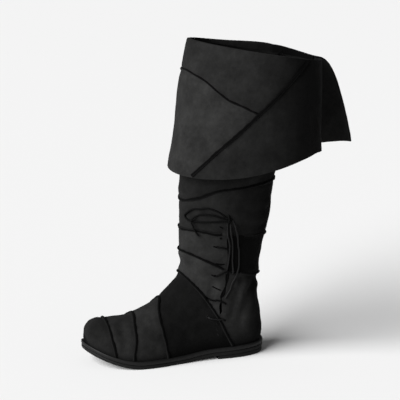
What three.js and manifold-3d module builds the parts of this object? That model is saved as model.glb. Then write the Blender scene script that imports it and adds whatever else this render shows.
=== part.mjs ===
// Left pirate boot of suede patchwork, with a turned-down cuff and side lacing.
// Millimetres, +Z up. The toe points along -X and the outer side of the foot is -Y.
// The origin is the middle of the heel's flat ground face.

import * as THREE from 'three';
import { mergeVertices } from 'three/addons/utils/BufferGeometryUtils.js';
import Module from 'manifold-3d';

const wasm = await Module();
wasm.setup();

// Sole and heel
const soleLength = 296;
const heelLength = 87;
const heelCentre = 43;
const heelLift = 8;
const breastLift = 5.5;
const outsoleThickness = 5.8;
const weltThickness = 5.8;
const outsoleEdge = 3.2;
const weltEdge = 3.9;
const heelEdge = 2.4;
const toeSpring = 28;
const insoleThickness = 3;
const insoleInset = 1.7;
const breastHollow = 4;

// Foot and leg of the upper
const ballWidth = 97;
const instepHeight = 92;
const ankleDepth = 124;
const ankleWidth = 92;
const shaftHeight = 476;
const wall = 2;

// Turned-down cuff
const cuffHeight = 190;
const cuffFlare = 36;
const cuffThickness = 2;
const flarePower = 0.8;

// Raised seams
const seamHeight = 2.6;
const seamWidth = 2.6;
const seamRoot = 0.8;

// Side lacing
const slitWidth = 7;
const gussetWidth = 34;
const gussetThickness = 1.4;
const laceDiameter = 2.6;
const laceStep = 2;
const laceSides = 8;

// Gap between curved pieces that meet, and what flat faces on a curved form take up beside it
const clearance = 0.3;
const facetAllowance = 0.5;

// The sole is flat on the ground between these shares of its length
const flatStart = 0.51;
const flatEnd = 0.7;
const springPower = 1.8;

// How finely curved forms are cut into flat faces
const sectionCount = 36;
const roundCount = 28;
const outlineCount = 34;
const cuffRings = 6;
const cuffColumns = 32;
const seamSteps = 12;
const mirroredSeamSteps = 22;
const slitSteps = 30;
const gussetSteps = 16;
const gussetColumns = 6;
const profileStep = 4;
const turnScale = 24;

// How far cutting forms reach past what they cut
const collarReach = 8;
const profileReach = 60;
const profileDepth = 80;

// Section rows between which the feather line comes to an end at the toe and at the heel
const toeSearch = 4;
const heelSearch = 7;

// Foot sections from the toe to the instep. bottom and top are places along the sole, as shares of
// its length. under and over are heights above the feather line, as shares of the instep height.
// outer, inner and shift are shares of the ball width; footRound and topRound shares of the section.
const footRows = [
  { bottom: 0.968, under: 0.115, top: 0.968, over: 0.135, outer: 0.01, inner: 0.01, shift: 0.13,
    footRound: 0.5, topRound: 0.5 },
  { bottom: 0.965, under: 0.0, top: 0.962, over: 0.235, outer: 0.13, inner: 0.12, shift: 0.13,
    footRound: 0.45, topRound: 0.55 },
  { bottom: 0.944, under: -0.12, top: 0.934, over: 0.355, outer: 0.245, inner: 0.235, shift: 0.122,
    footRound: 0.36, topRound: 0.62 },
  { bottom: 0.903, under: -0.15, top: 0.887, over: 0.485, outer: 0.365, inner: 0.335, shift: 0.105,
    footRound: 0.2, topRound: 0.7 },
  { bottom: 0.845, under: -0.15, top: 0.821, over: 0.575, outer: 0.455, inner: 0.405, shift: 0.08,
    footRound: 0.13, topRound: 0.74 },
  { bottom: 0.77, under: -0.15, top: 0.757, over: 0.635, outer: 0.505, inner: 0.455, shift: 0.055,
    footRound: 0.13, topRound: 0.78 },
  { bottom: 0.693, under: -0.15, top: 0.693, over: 0.715, outer: 0.52, inner: 0.465, shift: 0.04,
    footRound: 0.13, topRound: 0.8 },
  { bottom: 0.608, under: -0.15, top: 0.615, over: 0.83, outer: 0.495, inner: 0.425, shift: 0.03,
    footRound: 0.12, topRound: 0.8 },
  { bottom: 0.507, under: -0.15, top: 0.552, over: 0.99, outer: 0.44, inner: 0.37, shift: 0.025,
    footRound: 0.11, topRound: 0.74 },
  { bottom: 0.405, under: -0.15, top: 0.502, over: 1.15, outer: 0.4, inner: 0.345, shift: 0.02,
    footRound: 0.1, topRound: 0.66 },
];

// Leg sections from the heel to the rim. back and front are places forward of the heel's rear end,
// as shares of the ankle depth; low and high are heights above the ground, as shares of the shaft
// height. outer, inner and shift are shares of the ankle width.
const legRows = [
  { back: 0.73, low: 0.011, front: 1.115, high: 0.275, outer: 0.405, inner: 0.365, shift: 0.01,
    backRound: 0.1, frontRound: 0.6 },
  { back: 0.45, low: 0.011, front: 1.1, high: 0.293, outer: 0.41, inner: 0.39, shift: 0,
    backRound: 0.11, frontRound: 0.55 },
  { back: 0.235, low: 0.011, front: 1.095, high: 0.306, outer: 0.42, inner: 0.41, shift: 0,
    backRound: 0.17, frontRound: 0.52 },
  { back: 0.09, low: 0.016, front: 1.095, high: 0.318, outer: 0.425, inner: 0.42, shift: 0,
    backRound: 0.27, frontRound: 0.5 },
  { back: 0.036, low: 0.044, front: 1.095, high: 0.328, outer: 0.43, inner: 0.43, shift: 0,
    backRound: 0.34, frontRound: 0.5 },
  { back: 0.022, low: 0.084, front: 1.096, high: 0.34, outer: 0.44, inner: 0.44, shift: 0,
    backRound: 0.37, frontRound: 0.5 },
  { back: 0.042, low: 0.132, front: 1.097, high: 0.354, outer: 0.45, inner: 0.455, shift: 0,
    backRound: 0.4, frontRound: 0.5 },
  { back: 0.08, low: 0.186, front: 1.098, high: 0.37, outer: 0.46, inner: 0.47, shift: 0,
    backRound: 0.42, frontRound: 0.5 },
  { back: 0.1, low: 0.24, front: 1.098, high: 0.39, outer: 0.475, inner: 0.48, shift: 0,
    backRound: 0.44, frontRound: 0.5 },
  { back: 0.065, low: 0.3, front: 1.097, high: 0.415, outer: 0.5, inner: 0.495, shift: 0,
    backRound: 0.47, frontRound: 0.5 },
  { back: 0.012, low: 0.375, front: 1.093, high: 0.455, outer: 0.525, inner: 0.52, shift: 0,
    backRound: 0.5, frontRound: 0.5 },
  { back: -0.065, low: 0.455, front: 1.087, high: 0.505, outer: 0.56, inner: 0.55, shift: 0,
    backRound: 0.5, frontRound: 0.5 },
  { back: -0.1, low: 0.54, front: 1.082, high: 0.572, outer: 0.6, inner: 0.59, shift: 0,
    backRound: 0.5, frontRound: 0.5 },
  { back: -0.18, low: 0.635, front: 1.075, high: 0.66, outer: 0.66, inner: 0.65, shift: 0,
    backRound: 0.5, frontRound: 0.5 },
  { back: -0.4, low: 0.755, front: 1.055, high: 0.79, outer: 0.75, inner: 0.74, shift: 0,
    backRound: 0.5, frontRound: 0.5 },
  { back: -0.6, low: 0.87, front: 1.01, high: 0.92, outer: 0.84, inner: 0.83, shift: 0,
    backRound: 0.5, frontRound: 0.5 },
  { back: -0.705, low: 0.957, front: 0.945, high: 1.033, outer: 0.89, inner: 0.88, shift: 0,
    backRound: 0.5, frontRound: 0.5 },
];

// The cuff's free edge, from its outer corner at the back, round the front, to its inner corner.
// turn goes round the rim; drop is a share of the cuff height and flare one of the cuff flare.
// bow below one lets the flare open sooner below the rim.
const cuffRows = [
  { turn: 0.012, drop: 0.772, flare: 0.02, bow: 1 },
  { turn: 0.06, drop: 0.741, flare: 0.04, bow: 1 },
  { turn: 0.125, drop: 0.737, flare: 0.22, bow: 1 },
  { turn: 0.19, drop: 0.793, flare: 0.42, bow: 1 },
  { turn: 0.25, drop: 0.88, flare: 0.57, bow: 1 },
  { turn: 0.32, drop: 0.975, flare: 0.62, bow: 1 },
  { turn: 0.39, drop: 1.028, flare: 0.72, bow: 1 },
  { turn: 0.45, drop: 1.044, flare: 0.82, bow: 1 },
  { turn: 0.5, drop: 1.035, flare: 0.86, bow: 1 },
  { turn: 0.56, drop: 1.02, flare: 0.84, bow: 1 },
  { turn: 0.64, drop: 0.98, flare: 0.72, bow: 1 },
  { turn: 0.75, drop: 0.92, flare: 0.58, bow: 0.92 },
  { turn: 0.85, drop: 0.84, flare: 0.85, bow: 0.8 },
  { turn: 0.93, drop: 0.77, flare: 1.35, bow: 0.62 },
  { turn: 0.988, drop: 0.72, flare: 1.8, bow: 0.54 },
];

// Raised seams of the foot and shaft. place counts the section rows and turn goes round them, from
// the back or bottom over the outer side; a mirrored seam runs on over the inner side.
const bootSeams = {
  toe: { mirrored: true, path: [[4, 0.12], [3.8, 0.205], [3.6, 0.27], [3.45, 0.35], [3.35, 0.43],
    [3.3, 0.5]] },
  ball: { mirrored: true, path: [[5.1, 0.12], [5.15, 0.2], [5.3, 0.28], [5.35, 0.37], [5.5, 0.44],
    [5.6, 0.5]] },
  instep: { mirrored: true, path: [[7.4, 0.1], [7.3, 0.205], [7.2, 0.275], [7.1, 0.34],
    [7.25, 0.42], [7.6, 0.5]] },
  quarter: { mirrored: true, path: [[11, 0.08], [11.1, 0.17], [11.25, 0.225], [11.3, 0.285],
    [11.25, 0.335], [10.9, 0.39], [10.5, 0.45], [10.4, 0.5]] },
  ankleFront: { mirrored: false, path: [[17.4, 0.268], [17.3, 0.302], [17.1, 0.352],
    [16.8, 0.403], [16.2, 0.48], [16.2, 0.52], [16.8, 0.6], [17.3, 0.7], [17.7, 0.8]] },
  ankleRear: { mirrored: false, path: [[17.7, 0.8], [18.2, 0.9], [18.4, 1], [18.4, 1.058],
    [18.1, 1.14], [17.95, 1.195]] },
  calfFront: { mirrored: false, path: [[20, 0.29], [19.9, 0.315], [19.8, 0.378], [19.6, 0.435],
    [19.5, 0.5], [19.6, 0.565], [19.8, 0.63], [20, 0.72], [20.1, 0.8]] },
  calfRear: { mirrored: false, path: [[20.1, 0.8], [20.2, 0.88], [20.35, 1], [20.3, 1.1],
    [20.2, 1.14], [20.1, 1.2]] },
  shaft: { mirrored: true, path: [[22.45, 0], [22.4, 0.08], [22.3, 0.16], [22.15, 0.24],
    [22, 0.31], [21.8, 0.35], [21.55, 0.39], [21.3, 0.46], [21.25, 0.5]] },
};

// The slit of the side lacing, from its top to its foot, and the gusset behind it, from its foot up
const slitPath = [[20, 0.262], [19.2, 0.25], [18.2, 0.243], [17, 0.25], [15.4, 0.266],
  [13.8, 0.279], [12.6, 0.268], [11.75, 0.245]];

const gussetPath = [[12.8, 0.27], [13.8, 0.279], [15.4, 0.266], [17, 0.25], [18.2, 0.243],
  [19.2, 0.25], [20.35, 0.262]];

// Raised seams of the cuff. fall runs from the fold to the free edge and turn goes round the rim.
const cuffSeams = {
  front: { mirrored: true, path: [[0.51, 0.2885], [0.44, 0.325], [0.4, 0.354], [0.34, 0.382],
    [0.27, 0.419], [0.23, 0.47], [0.225, 0.5]] },
  side: { mirrored: false, path: [[0.012, 0.1584], [0.06, 0.1665], [0.21, 0.207], [0.38, 0.252],
    [0.51, 0.2885], [0.58, 0.309], [0.69, 0.341], [0.77, 0.366], [0.87, 0.394], [0.99, 0.427]] },
  innerSide: { mirrored: false, path: [[0.012, 0.8416], [0.06, 0.8335], [0.21, 0.793],
    [0.38, 0.748], [0.51, 0.7115], [0.58, 0.691], [0.69, 0.659], [0.77, 0.634], [0.87, 0.606],
    [0.99, 0.573]] },
};

// Runs of the lace over the shaft, as place, turn and raise. raise is how far the lace is lifted
// off the surface, in its own diameters, where it passes over a seam or another run.
const laceCrossings = {
  topRow: [[19.1, 0.295, 0], [19.2, 0.275, 0], [19.2, 0.253, 0]],
  secondRow: [[16.1, 0.302, 0], [16.75, 0.281, 0.35], [17.4, 0.256, 0.35], [17.7, 0.228, 0]],
  thirdRow: [[11.9, 0.3, 0], [12.3, 0.292, 0], [13, 0.285, 0], [13.6, 0.265, 0]],
  lowRow: [[10.6, 0.245, 0.7], [10.8, 0.239, 1.1], [11.1, 0.234, 1.2], [11.7, 0.226, 0.9]],
  frontStrand: [[20.6, 0.275, 0], [20.2, 0.27, 0], [19.9, 0.265, 0.6], [19.5, 0.255, 0.3],
    [18.9, 0.25, 0], [18.2, 0.248, 0.1], [17.4, 0.254, 0.35]],
  rearStrand: [[20.6, 0.265, 0], [20.3, 0.26, 0.4], [20, 0.255, 1], [19.7, 0.247, 0.5],
    [19.2, 0.24, 0], [18.5, 0.233, 0], [17.6, 0.231, 0.1]],
  link: [[17.5, 0.254, 0], [16.5, 0.256, -0.4], [15.4, 0.266, -0.4], [13.8, 0.279, -0.4],
    [12.8, 0.272, -0.3], [12.2, 0.259, -0.2], [11.75, 0.247, 0.4], [11.2, 0.235, 1.2]],
};

const laceKnot = {
  wrap: [[20.8, 0.286, 0], [20.8, 0.279, 0], [20.8, 0.272, 0], [20.8, 0.265, 0]],
  bridge: [[21.05, 0.276, 0.1], [20.95, 0.275, 0.7], [20.8, 0.274, 0.9], [20.7, 0.273, 0.7],
    [20.64, 0.272, 0.4]],
};

const laceCords = {
  lace_loop: [[20.92, 0.287, 0], [21.04, 0.303, 0], [21.14, 0.32, 0], [21.2, 0.35, 0],
    [21.1, 0.38, 0], [21, 0.41, 0], [20.7, 0.438, 0], [20.5, 0.448, 0], [20.3, 0.432, 0],
    [20.3, 0.4, 0], [20.4, 0.365, 0], [20.5, 0.338, 0], [20.6, 0.312, 0], [20.69, 0.287, 0]],
  lace_end: [[20.81, 0.288, 0], [20.84, 0.304, 0], [20.89, 0.325, 0], [20.88, 0.352, 0],
    [20.8, 0.375, 0], [20.62, 0.395, 0.4], [20.42, 0.405, 1.15], [20.2, 0.405, 1.15],
    [20, 0.398, 1], [19.8, 0.391, 1], [19.62, 0.382, 0.8], [19.45, 0.372, 0.2]],
  lace_tail: [[20.8, 0.2615, 0], [20.6, 0.251, 0.3], [20.35, 0.243, 1], [20.1, 0.235, 1],
    [19.9, 0.23, 0.9], [19.6, 0.223, 0.2], [19.3, 0.215, 0], [18.9, 0.21, 0], [18.4, 0.205, 0],
    [18, 0.207, 0], [17.4, 0.217, 0], [16.6, 0.235, 0], [15.8, 0.247, 0], [14.9, 0.26, 0],
    [14.25, 0.266, 0]],
};

const mix = (a, b, share) => a + (b - a) * share;
const ease = (share) => share * share * (3 - 2 * share);

// Sole profile: places along the sole are measured forward from the heel's rear end

function soleBottom(along) {
  if (along <= heelLength) {
    return mix(heelLift, breastLift, along / heelLength);
  }
  const flatFrom = flatStart * soleLength;
  const flatTo = flatEnd * soleLength;
  if (along < flatFrom) {
    return breastLift * ease((flatFrom - along) / (flatFrom - heelLength));
  }
  const rise = Math.max(0, (along - flatTo) / (soleLength - flatTo));
  return toeSpring * Math.pow(rise, springPower);
}

function feather(along) {
  return soleBottom(along) + outsoleThickness + clearance + weltThickness;
}

const toX = (along) => heelCentre - along;

// The upper's sections in millimetres: a back or bottom point, a front or top point and widths

function footSection(row) {
  const bottom = row.bottom * soleLength;
  const top = row.top * soleLength;
  return {
    back: bottom, low: feather(bottom) + row.under * instepHeight,
    front: top, high: feather(top) + row.over * instepHeight,
    outer: row.outer * ballWidth, inner: row.inner * ballWidth, shift: row.shift * ballWidth,
    backRound: row.footRound, frontRound: row.topRound,
  };
}

function legSection(row) {
  return {
    back: row.back * ankleDepth, low: row.low * shaftHeight,
    front: row.front * ankleDepth, high: row.high * shaftHeight,
    outer: row.outer * ankleWidth, inner: row.inner * ankleWidth, shift: row.shift * ankleWidth,
    backRound: row.backRound, frontRound: row.frontRound,
  };
}

const sections = [...footRows.map(footSection), ...legRows.map(legSection)];
const lastSection = sections.length - 1;

function between(a, b, c, d, share) {
  const square = share * share;
  const cube = square * share;
  return 0.5 * (2 * b + (c - a) * share + (2 * a - 5 * b + 4 * c - d) * square
    + (3 * b - a - 3 * c + d) * cube);
}

function sectionAt(place) {
  const row = Math.min(lastSection - 1, Math.max(0, Math.floor(place)));
  const near = [row - 1, row, row + 1, row + 2].map((index) =>
    sections[Math.min(lastSection, Math.max(0, index))]);
  const result = {};
  for (const key of Object.keys(near[1])) {
    result[key] = between(near[0][key], near[1][key], near[2][key], near[3][key], place - row);
  }
  return result;
}

function roundEnd(share, length) {
  if (share >= length) {
    return 1;
  }
  const rest = 1 - share / length;
  return Math.sqrt(Math.max(0, 1 - rest * rest));
}

// A point of the upper's outer face. place counts section rows from the toe; turn goes once round
// from the back or bottom over the outer side, the front or top and the inner side.

function facePoint(place, turn) {
  const section = sectionAt(place);
  const angle = 2 * Math.PI * turn;
  const share = (1 - Math.cos(angle)) / 2;
  const side = Math.sin(angle) >= 0 ? -section.outer : section.inner;
  const width = roundEnd(share, section.backRound) * roundEnd(1 - share, section.frontRound);
  return new THREE.Vector3(
    toX(mix(section.back, section.front, share)),
    section.shift + side * width,
    mix(section.low, section.high, share),
  );
}

function faceNormal(place, turn) {
  const step = 0.01;
  const from = Math.max(step, Math.min(lastSection, place));
  const alongBoot = facePoint(from + step / 2, turn).sub(facePoint(from - step / 2, turn));
  const aroundBoot = facePoint(from, turn + step).sub(facePoint(from, turn - step));
  return alongBoot.cross(aroundBoot).normalize();
}

function offsetPoint(place, turn, offset) {
  return facePoint(place, turn).addScaledVector(faceNormal(place, turn), offset);
}

// The cuff hangs from the rim. turn goes round the rim and fall is 0 at the fold, 1 at the edge.

function cuffShape(turn) {
  const last = cuffRows.length - 1;
  let row = 0;
  while (row < last - 1 && turn > cuffRows[row + 1].turn) {
    row += 1;
  }
  const near = [row - 1, row, row + 1, row + 2].map((index) =>
    cuffRows[Math.min(last, Math.max(0, index))]);
  const share = (turn - near[1].turn) / (near[2].turn - near[1].turn);
  const value = (key) => between(near[0][key], near[1][key], near[2][key], near[3][key], share);
  return {
    drop: value('drop') * cuffHeight,
    flare: value('flare') * cuffFlare,
    power: value('bow') * flarePower,
  };
}

function cuffPoint(turn, fall) {
  const rim = facePoint(lastSection, turn);
  const ahead = facePoint(lastSection, turn + 0.01).sub(facePoint(lastSection, turn - 0.01));
  const outward = new THREE.Vector3(-ahead.y, ahead.x, 0).normalize();
  const shape = cuffShape(turn);
  const spread = clearance + facetAllowance + shape.flare * Math.pow(fall, shape.power);
  const point = rim.addScaledVector(outward, spread);
  point.z -= shape.drop * fall;
  return point;
}

// A point of the cuff's outer face, raised by an offset

function onCuff([fall, turn], offset) {
  const step = 0.01;
  const from = Math.min(1 - step, Math.max(step, fall));
  const down = cuffPoint(turn, from + step).sub(cuffPoint(turn, from - step));
  const around = cuffPoint(turn + step, from).sub(cuffPoint(turn - step, from));
  const normal = around.cross(down).normalize();
  return cuffPoint(turn, fall).addScaledVector(normal, cuffThickness + offset);
}

// Solids

function toSolid(geometry) {
  geometry.deleteAttribute('normal');
  geometry.deleteAttribute('uv');
  const merged = mergeVertices(geometry, 1e-4);
  return new wasm.Manifold(new wasm.Mesh({
    numProp: 3,
    vertProperties: new Float32Array(merged.attributes.position.array),
    triVerts: new Uint32Array(merged.index.array),
  }));
}

function toGeometry(solid) {
  const mesh = solid.getMesh();
  const geometry = new THREE.BufferGeometry();
  geometry.setAttribute('position', new THREE.BufferAttribute(mesh.vertProperties, 3));
  geometry.setIndex(new THREE.BufferAttribute(mesh.triVerts, 1));
  geometry.computeVertexNormals();
  return geometry;
}

// Rings of points joined into a closed solid. A ring of one point is a pole, and an open end is
// closed with a fan to its middle.

function ringSolid(rings) {
  const points = [];
  const starts = rings.map((ring) => {
    points.push(...ring);
    return points.length - ring.length;
  });
  const faces = [];
  for (let index = 0; index + 1 < rings.length; index += 1) {
    const lower = rings[index];
    const upper = rings[index + 1];
    const count = Math.max(lower.length, upper.length);
    for (let step = 0; step < count; step += 1) {
      const next = (step + 1) % count;
      const a = starts[index] + (lower.length > 1 ? step : 0);
      const b = starts[index] + (lower.length > 1 ? next : 0);
      const c = starts[index + 1] + (upper.length > 1 ? step : 0);
      const d = starts[index + 1] + (upper.length > 1 ? next : 0);
      if (a !== b) {
        faces.push(a, d, b);
      }
      if (c !== d) {
        faces.push(a, c, d);
      }
    }
  }
  closeEnd(points, faces, rings[0], starts[0], true);
  closeEnd(points, faces, rings[rings.length - 1], starts[rings.length - 1], false);
  return meshSolid(points, faces);
}

function closeEnd(points, faces, ring, start, isFirst) {
  if (ring.length === 1) {
    return;
  }
  const middle = ring.reduce((sum, point) => sum.add(point), new THREE.Vector3());
  points.push(middle.divideScalar(ring.length));
  for (let step = 0; step < ring.length; step += 1) {
    const a = start + step;
    const b = start + (step + 1) % ring.length;
    faces.push(points.length - 1, isFirst ? a : b, isFirst ? b : a);
  }
}

function meshSolid(points, faces) {
  const geometry = new THREE.BufferGeometry();
  const positions = points.flatMap((point) => [point.x, point.y, point.z]);
  geometry.setAttribute('position', new THREE.Float32BufferAttribute(positions, 3));
  geometry.setIndex(faces);
  return toSolid(geometry);
}

// The upper's form, offset from its outer face

function formRing(place, offset, lift = 0) {
  const ring = [];
  for (let step = 0; step < roundCount; step += 1) {
    const point = offsetPoint(place, step / roundCount, offset);
    point.z += lift;
    ring.push(point);
  }
  return ring;
}

function formSolid(offset, lift) {
  const rings = [[offsetPoint(0, 0.5, offset).setY(sections[0].shift)]];
  for (let index = 1; index <= sectionCount; index += 1) {
    const share = index / sectionCount;
    rings.push(formRing(lastSection * share, offset));
  }
  if (lift > 0) {
    rings.push(formRing(lastSection, offset, lift));
  }
  return ringSolid(rings);
}

// A smooth path through table points, and points spread evenly along it

function smoothPath(points, count) {
  const vectors = points.map(([place, turn]) => new THREE.Vector3(place, turn * turnScale, 0));
  const curve = new THREE.CatmullRomCurve3(vectors, false, 'centripetal');
  return curve.getSpacedPoints(count).map((point) => [point.x, point.y / turnScale]);
}

function mirroredPath(path) {
  const back = path.slice(0, -1).reverse().map(([place, turn]) => [place, 1 - turn]);
  return [...path, ...back];
}

// A bar of four corners that follows a surface: at(point, offset) gives the surface point raised
// by the offset, and the bar reaches from low to high over it

function surfaceBar(path, at, width, low, high) {
  const centres = path.map((point) => at(point, 0));
  const rings = path.map((point, index) => {
    const before = centres[Math.max(0, index - 1)];
    const after = centres[Math.min(path.length - 1, index + 1)];
    const forward = after.clone().sub(before).normalize();
    const normal = at(point, 1).sub(centres[index]).normalize();
    const side = forward.clone().cross(normal).normalize().multiplyScalar(width / 2);
    const root = centres[index].clone().addScaledVector(normal, low);
    const crest = centres[index].clone().addScaledVector(normal, high);
    return [root.clone().sub(side), root.clone().add(side), crest.clone().add(side),
      crest.clone().sub(side)];
  });
  return ringSolid(rings);
}

const onBoot = ([place, turn], offset) => offsetPoint(place, turn, offset);

// A curved sheet between a grid of face points and a matching grid of back points

function sheetSolid(face, back) {
  const rows = face.length;
  const columns = face[0].length;
  const points = [...face.flat(), ...back.flat()];
  const faceAt = (row, column) => row * columns + column;
  const backAt = (row, column) => rows * columns + row * columns + column;
  const faces = [];
  const quad = (a, b, c, d) => faces.push(a, b, c, a, c, d);
  for (let row = 0; row + 1 < rows; row += 1) {
    for (let column = 0; column + 1 < columns; column += 1) {
      quad(faceAt(row, column), faceAt(row + 1, column), faceAt(row + 1, column + 1),
        faceAt(row, column + 1));
      quad(backAt(row, column), backAt(row, column + 1), backAt(row + 1, column + 1),
        backAt(row + 1, column));
    }
    const last = columns - 1;
    quad(faceAt(row, 0), backAt(row, 0), backAt(row + 1, 0), faceAt(row + 1, 0));
    quad(faceAt(row, last), faceAt(row + 1, last), backAt(row + 1, last), backAt(row, last));
  }
  for (let column = 0; column + 1 < columns; column += 1) {
    const last = rows - 1;
    quad(faceAt(0, column), faceAt(0, column + 1), backAt(0, column + 1), backAt(0, column));
    quad(faceAt(last, column), backAt(last, column), backAt(last, column + 1),
      faceAt(last, column + 1));
  }
  return meshSolid(points, faces);
}

// The feather line, where the upper meets the sole

function featherShare(place) {
  const section = sectionAt(place);
  let low = 0;
  let high = 1;
  for (let step = 0; step < 30; step += 1) {
    const share = (low + high) / 2;
    const above = mix(section.low, section.high, share)
      - feather(mix(section.back, section.front, share));
    if (above > 0) {
      high = share;
    } else {
      low = share;
    }
  }
  return low;
}

function featherEnd(start, finish) {
  let inside = start;
  let outside = finish;
  for (let step = 0; step < 30; step += 1) {
    const place = (inside + outside) / 2;
    const section = sectionAt(place);
    if (section.low < feather(section.back)) {
      inside = place;
    } else {
      outside = place;
    }
  }
  return inside;
}

function featherPoint(place, isOuter) {
  const turn = Math.acos(1 - 2 * featherShare(place)) / (2 * Math.PI);
  const point = facePoint(place, isOuter ? turn : 1 - turn);
  return new THREE.Vector2(point.x, point.y);
}

// The outline of a sole layer in plan: from the toe along the outer side to the heel, and back
// along the inner side, moved outward by the edge

function soleOutline(edge) {
  const toePlace = featherEnd(toeSearch, 0);
  const heelPlace = featherEnd(footRows.length, footRows.length + heelSearch);
  const outer = [];
  const inner = [];
  for (let step = 0; step <= outlineCount; step += 1) {
    const share = (1 - Math.cos(Math.PI * step / outlineCount)) / 2;
    const place = mix(toePlace, heelPlace, share);
    outer.push(featherPoint(place, true));
    inner.push(featherPoint(place, false));
  }
  const line = [...outer, ...inner.slice(1, -1).reverse()];
  return line.map((point, index) => {
    const before = line[(index + line.length - 1) % line.length];
    const after = line[(index + 1) % line.length];
    const forward = after.clone().sub(before).normalize();
    return new THREE.Vector2(point.x + forward.y * edge, point.y - forward.x * edge);
  });
}

// A layer over an outline, between two heights that follow the place along the sole

function layerSolid(outline, bottomAt, topAt) {
  const count = outline.length;
  const along = (point) => heelCentre - point.x;
  const points = [
    ...outline.map((point) => new THREE.Vector3(point.x, point.y, bottomAt(along(point)))),
    ...outline.map((point) => new THREE.Vector3(point.x, point.y, topAt(along(point)))),
  ];
  const faces = [];
  const across = (a, b, c) => {
    faces.push(a, b, c, a + count, c + count, b + count);
  };
  for (let step = 0; step < outlineCount; step += 1) {
    const a = step;
    const b = step + 1;
    const c = (count - step - 1) % count;
    const d = (count - step) % count;
    if (b !== c) {
      across(a, c, b);
    }
    if (a !== d) {
      across(a, d, c);
    }
  }
  for (let step = 0; step < count; step += 1) {
    const next = (step + 1) % count;
    faces.push(step, next, next + count, step, next + count, step + count);
  }
  return meshSolid(points, faces);
}

// The heel block's plan: behind a breast that is a little hollow

function heelPlan() {
  const reach = ballWidth;
  const plan = new THREE.Shape();
  const breast = toX(heelLength);
  plan.moveTo(toX(-reach), -reach);
  plan.lineTo(breast, -reach);
  plan.lineTo(breast, -ballWidth / 2);
  plan.quadraticCurveTo(breast + 2 * breastHollow, 0, breast, ballWidth / 2);
  plan.lineTo(breast, reach);
  plan.lineTo(toX(-reach), reach);
  const block = new THREE.ExtrudeGeometry(plan, {
    depth: reach, bevelEnabled: false, curveSegments: 8,
  });
  block.translate(0, 0, -reach / 2);
  return toSolid(block);
}

const group = new THREE.Group();

function addPart(name, solid, color, roughness) {
  const material = new THREE.MeshStandardMaterial({ color, roughness, metalness: 0 });
  const mesh = new THREE.Mesh(toGeometry(solid), material);
  mesh.name = name;
  group.add(mesh);
}

// Everything below the feather line, lifted a little

function underFeather(lift) {
  const profile = new THREE.Shape();
  const last = soleLength + profileReach;
  profile.moveTo(toX(-profileReach), -profileDepth);
  for (let along = -profileReach; along <= last; along += profileStep) {
    profile.lineTo(toX(along), feather(along) + lift);
  }
  profile.lineTo(toX(last), -profileDepth);
  const block = new THREE.ExtrudeGeometry(profile, { depth: 2 * ballWidth, bevelEnabled: false });
  block.rotateX(Math.PI / 2);
  block.translate(0, ballWidth, 0);
  return toSolid(block);
}

function withSeams(form, seams, at) {
  let result = form;
  for (const seam of Object.values(seams)) {
    const path = seam.mirrored ? mirroredPath(seam.path) : seam.path;
    const steps = seam.mirrored ? mirroredSeamSteps : seamSteps;
    const line = smoothPath(path, steps);
    result = result.add(surfaceBar(line, at, seamWidth, -seamRoot, seamHeight));
  }
  return result;
}

function upperSolid() {
  const slit = surfaceBar(smoothPath(slitPath, slitSteps), onBoot, slitWidth, -2 * wall,
    2 * seamHeight);
  return withSeams(formSolid(0, 0), bootSeams, onBoot)
    .subtract(formSolid(-wall, collarReach))
    .subtract(underFeather(clearance))
    .subtract(slit);
}

addPart('upper', upperSolid(), 0x1c1c1c, 0.9);

// The gusset lies behind the slit, against the inner face of the wall

function gussetSolid() {
  const path = smoothPath(gussetPath, gussetSteps);
  const columns = gussetColumns;
  const grid = (offset) => path.map(([place, turn]) => {
    const span = facePoint(place, turn + 0.01).distanceTo(facePoint(place, turn - 0.01)) / 0.02;
    const row = [];
    for (let column = 0; column <= columns; column += 1) {
      const aside = (column / columns - 0.5) * gussetWidth / span;
      row.push(offsetPoint(place, turn + aside, offset));
    }
    return row;
  });
  const seat = wall + clearance + facetAllowance;
  return sheetSolid(grid(-seat), grid(-seat - gussetThickness));
}

addPart('gusset', gussetSolid(), 0x161616, 0.9);

// The cuff is a sheet with its own raised seams

function cuffSolid() {
  const first = cuffRows[0].turn;
  const final = cuffRows[cuffRows.length - 1].turn;
  const grid = (offset) => {
    const rows = [];
    for (let ring = 0; ring <= cuffRings; ring += 1) {
      const row = [];
      for (let column = 0; column <= cuffColumns; column += 1) {
        const turn = mix(final, first, column / cuffColumns);
        row.push(onCuff([ring / cuffRings, turn], offset));
      }
      rows.push(row);
    }
    return rows;
  };
  return withSeams(sheetSolid(grid(0), grid(-cuffThickness)), cuffSeams, onCuff);
}

addPart('cuff', cuffSolid(), 0x1c1c1c, 0.9);

// A round lace along a run

function laceTube(run) {
  const points = run.map(([place, turn, raise]) =>
    offsetPoint(place, turn, clearance + facetAllowance + (0.5 + raise) * laceDiameter));
  const curve = new THREE.CatmullRomCurve3(points, false, 'centripetal');
  const corners = [];
  for (let side = 0; side < laceSides; side += 1) {
    const angle = 2 * Math.PI * side / laceSides;
    corners.push(new THREE.Vector2(Math.cos(angle), Math.sin(angle)).multiplyScalar(laceDiameter / 2));
  }
  const steps = Math.round(curve.getLength() / (laceStep * laceDiameter));
  return toSolid(new THREE.ExtrudeGeometry(new THREE.Shape(corners), {
    steps, extrudePath: curve, bevelEnabled: false,
  }));
}

const joined = (solids) => solids.reduce((sum, solid) => sum.add(solid));

addPart('lace_crossings', joined(Object.values(laceCrossings).map(laceTube)), 0x2a2a2a, 0.8);
addPart('lace_knot', joined(Object.values(laceKnot).map(laceTube)), 0x2a2a2a, 0.8);
for (const [name, run] of Object.entries(laceCords)) {
  addPart(name, laceTube(run), 0x2a2a2a, 0.8);
}

// Sole layers

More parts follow.
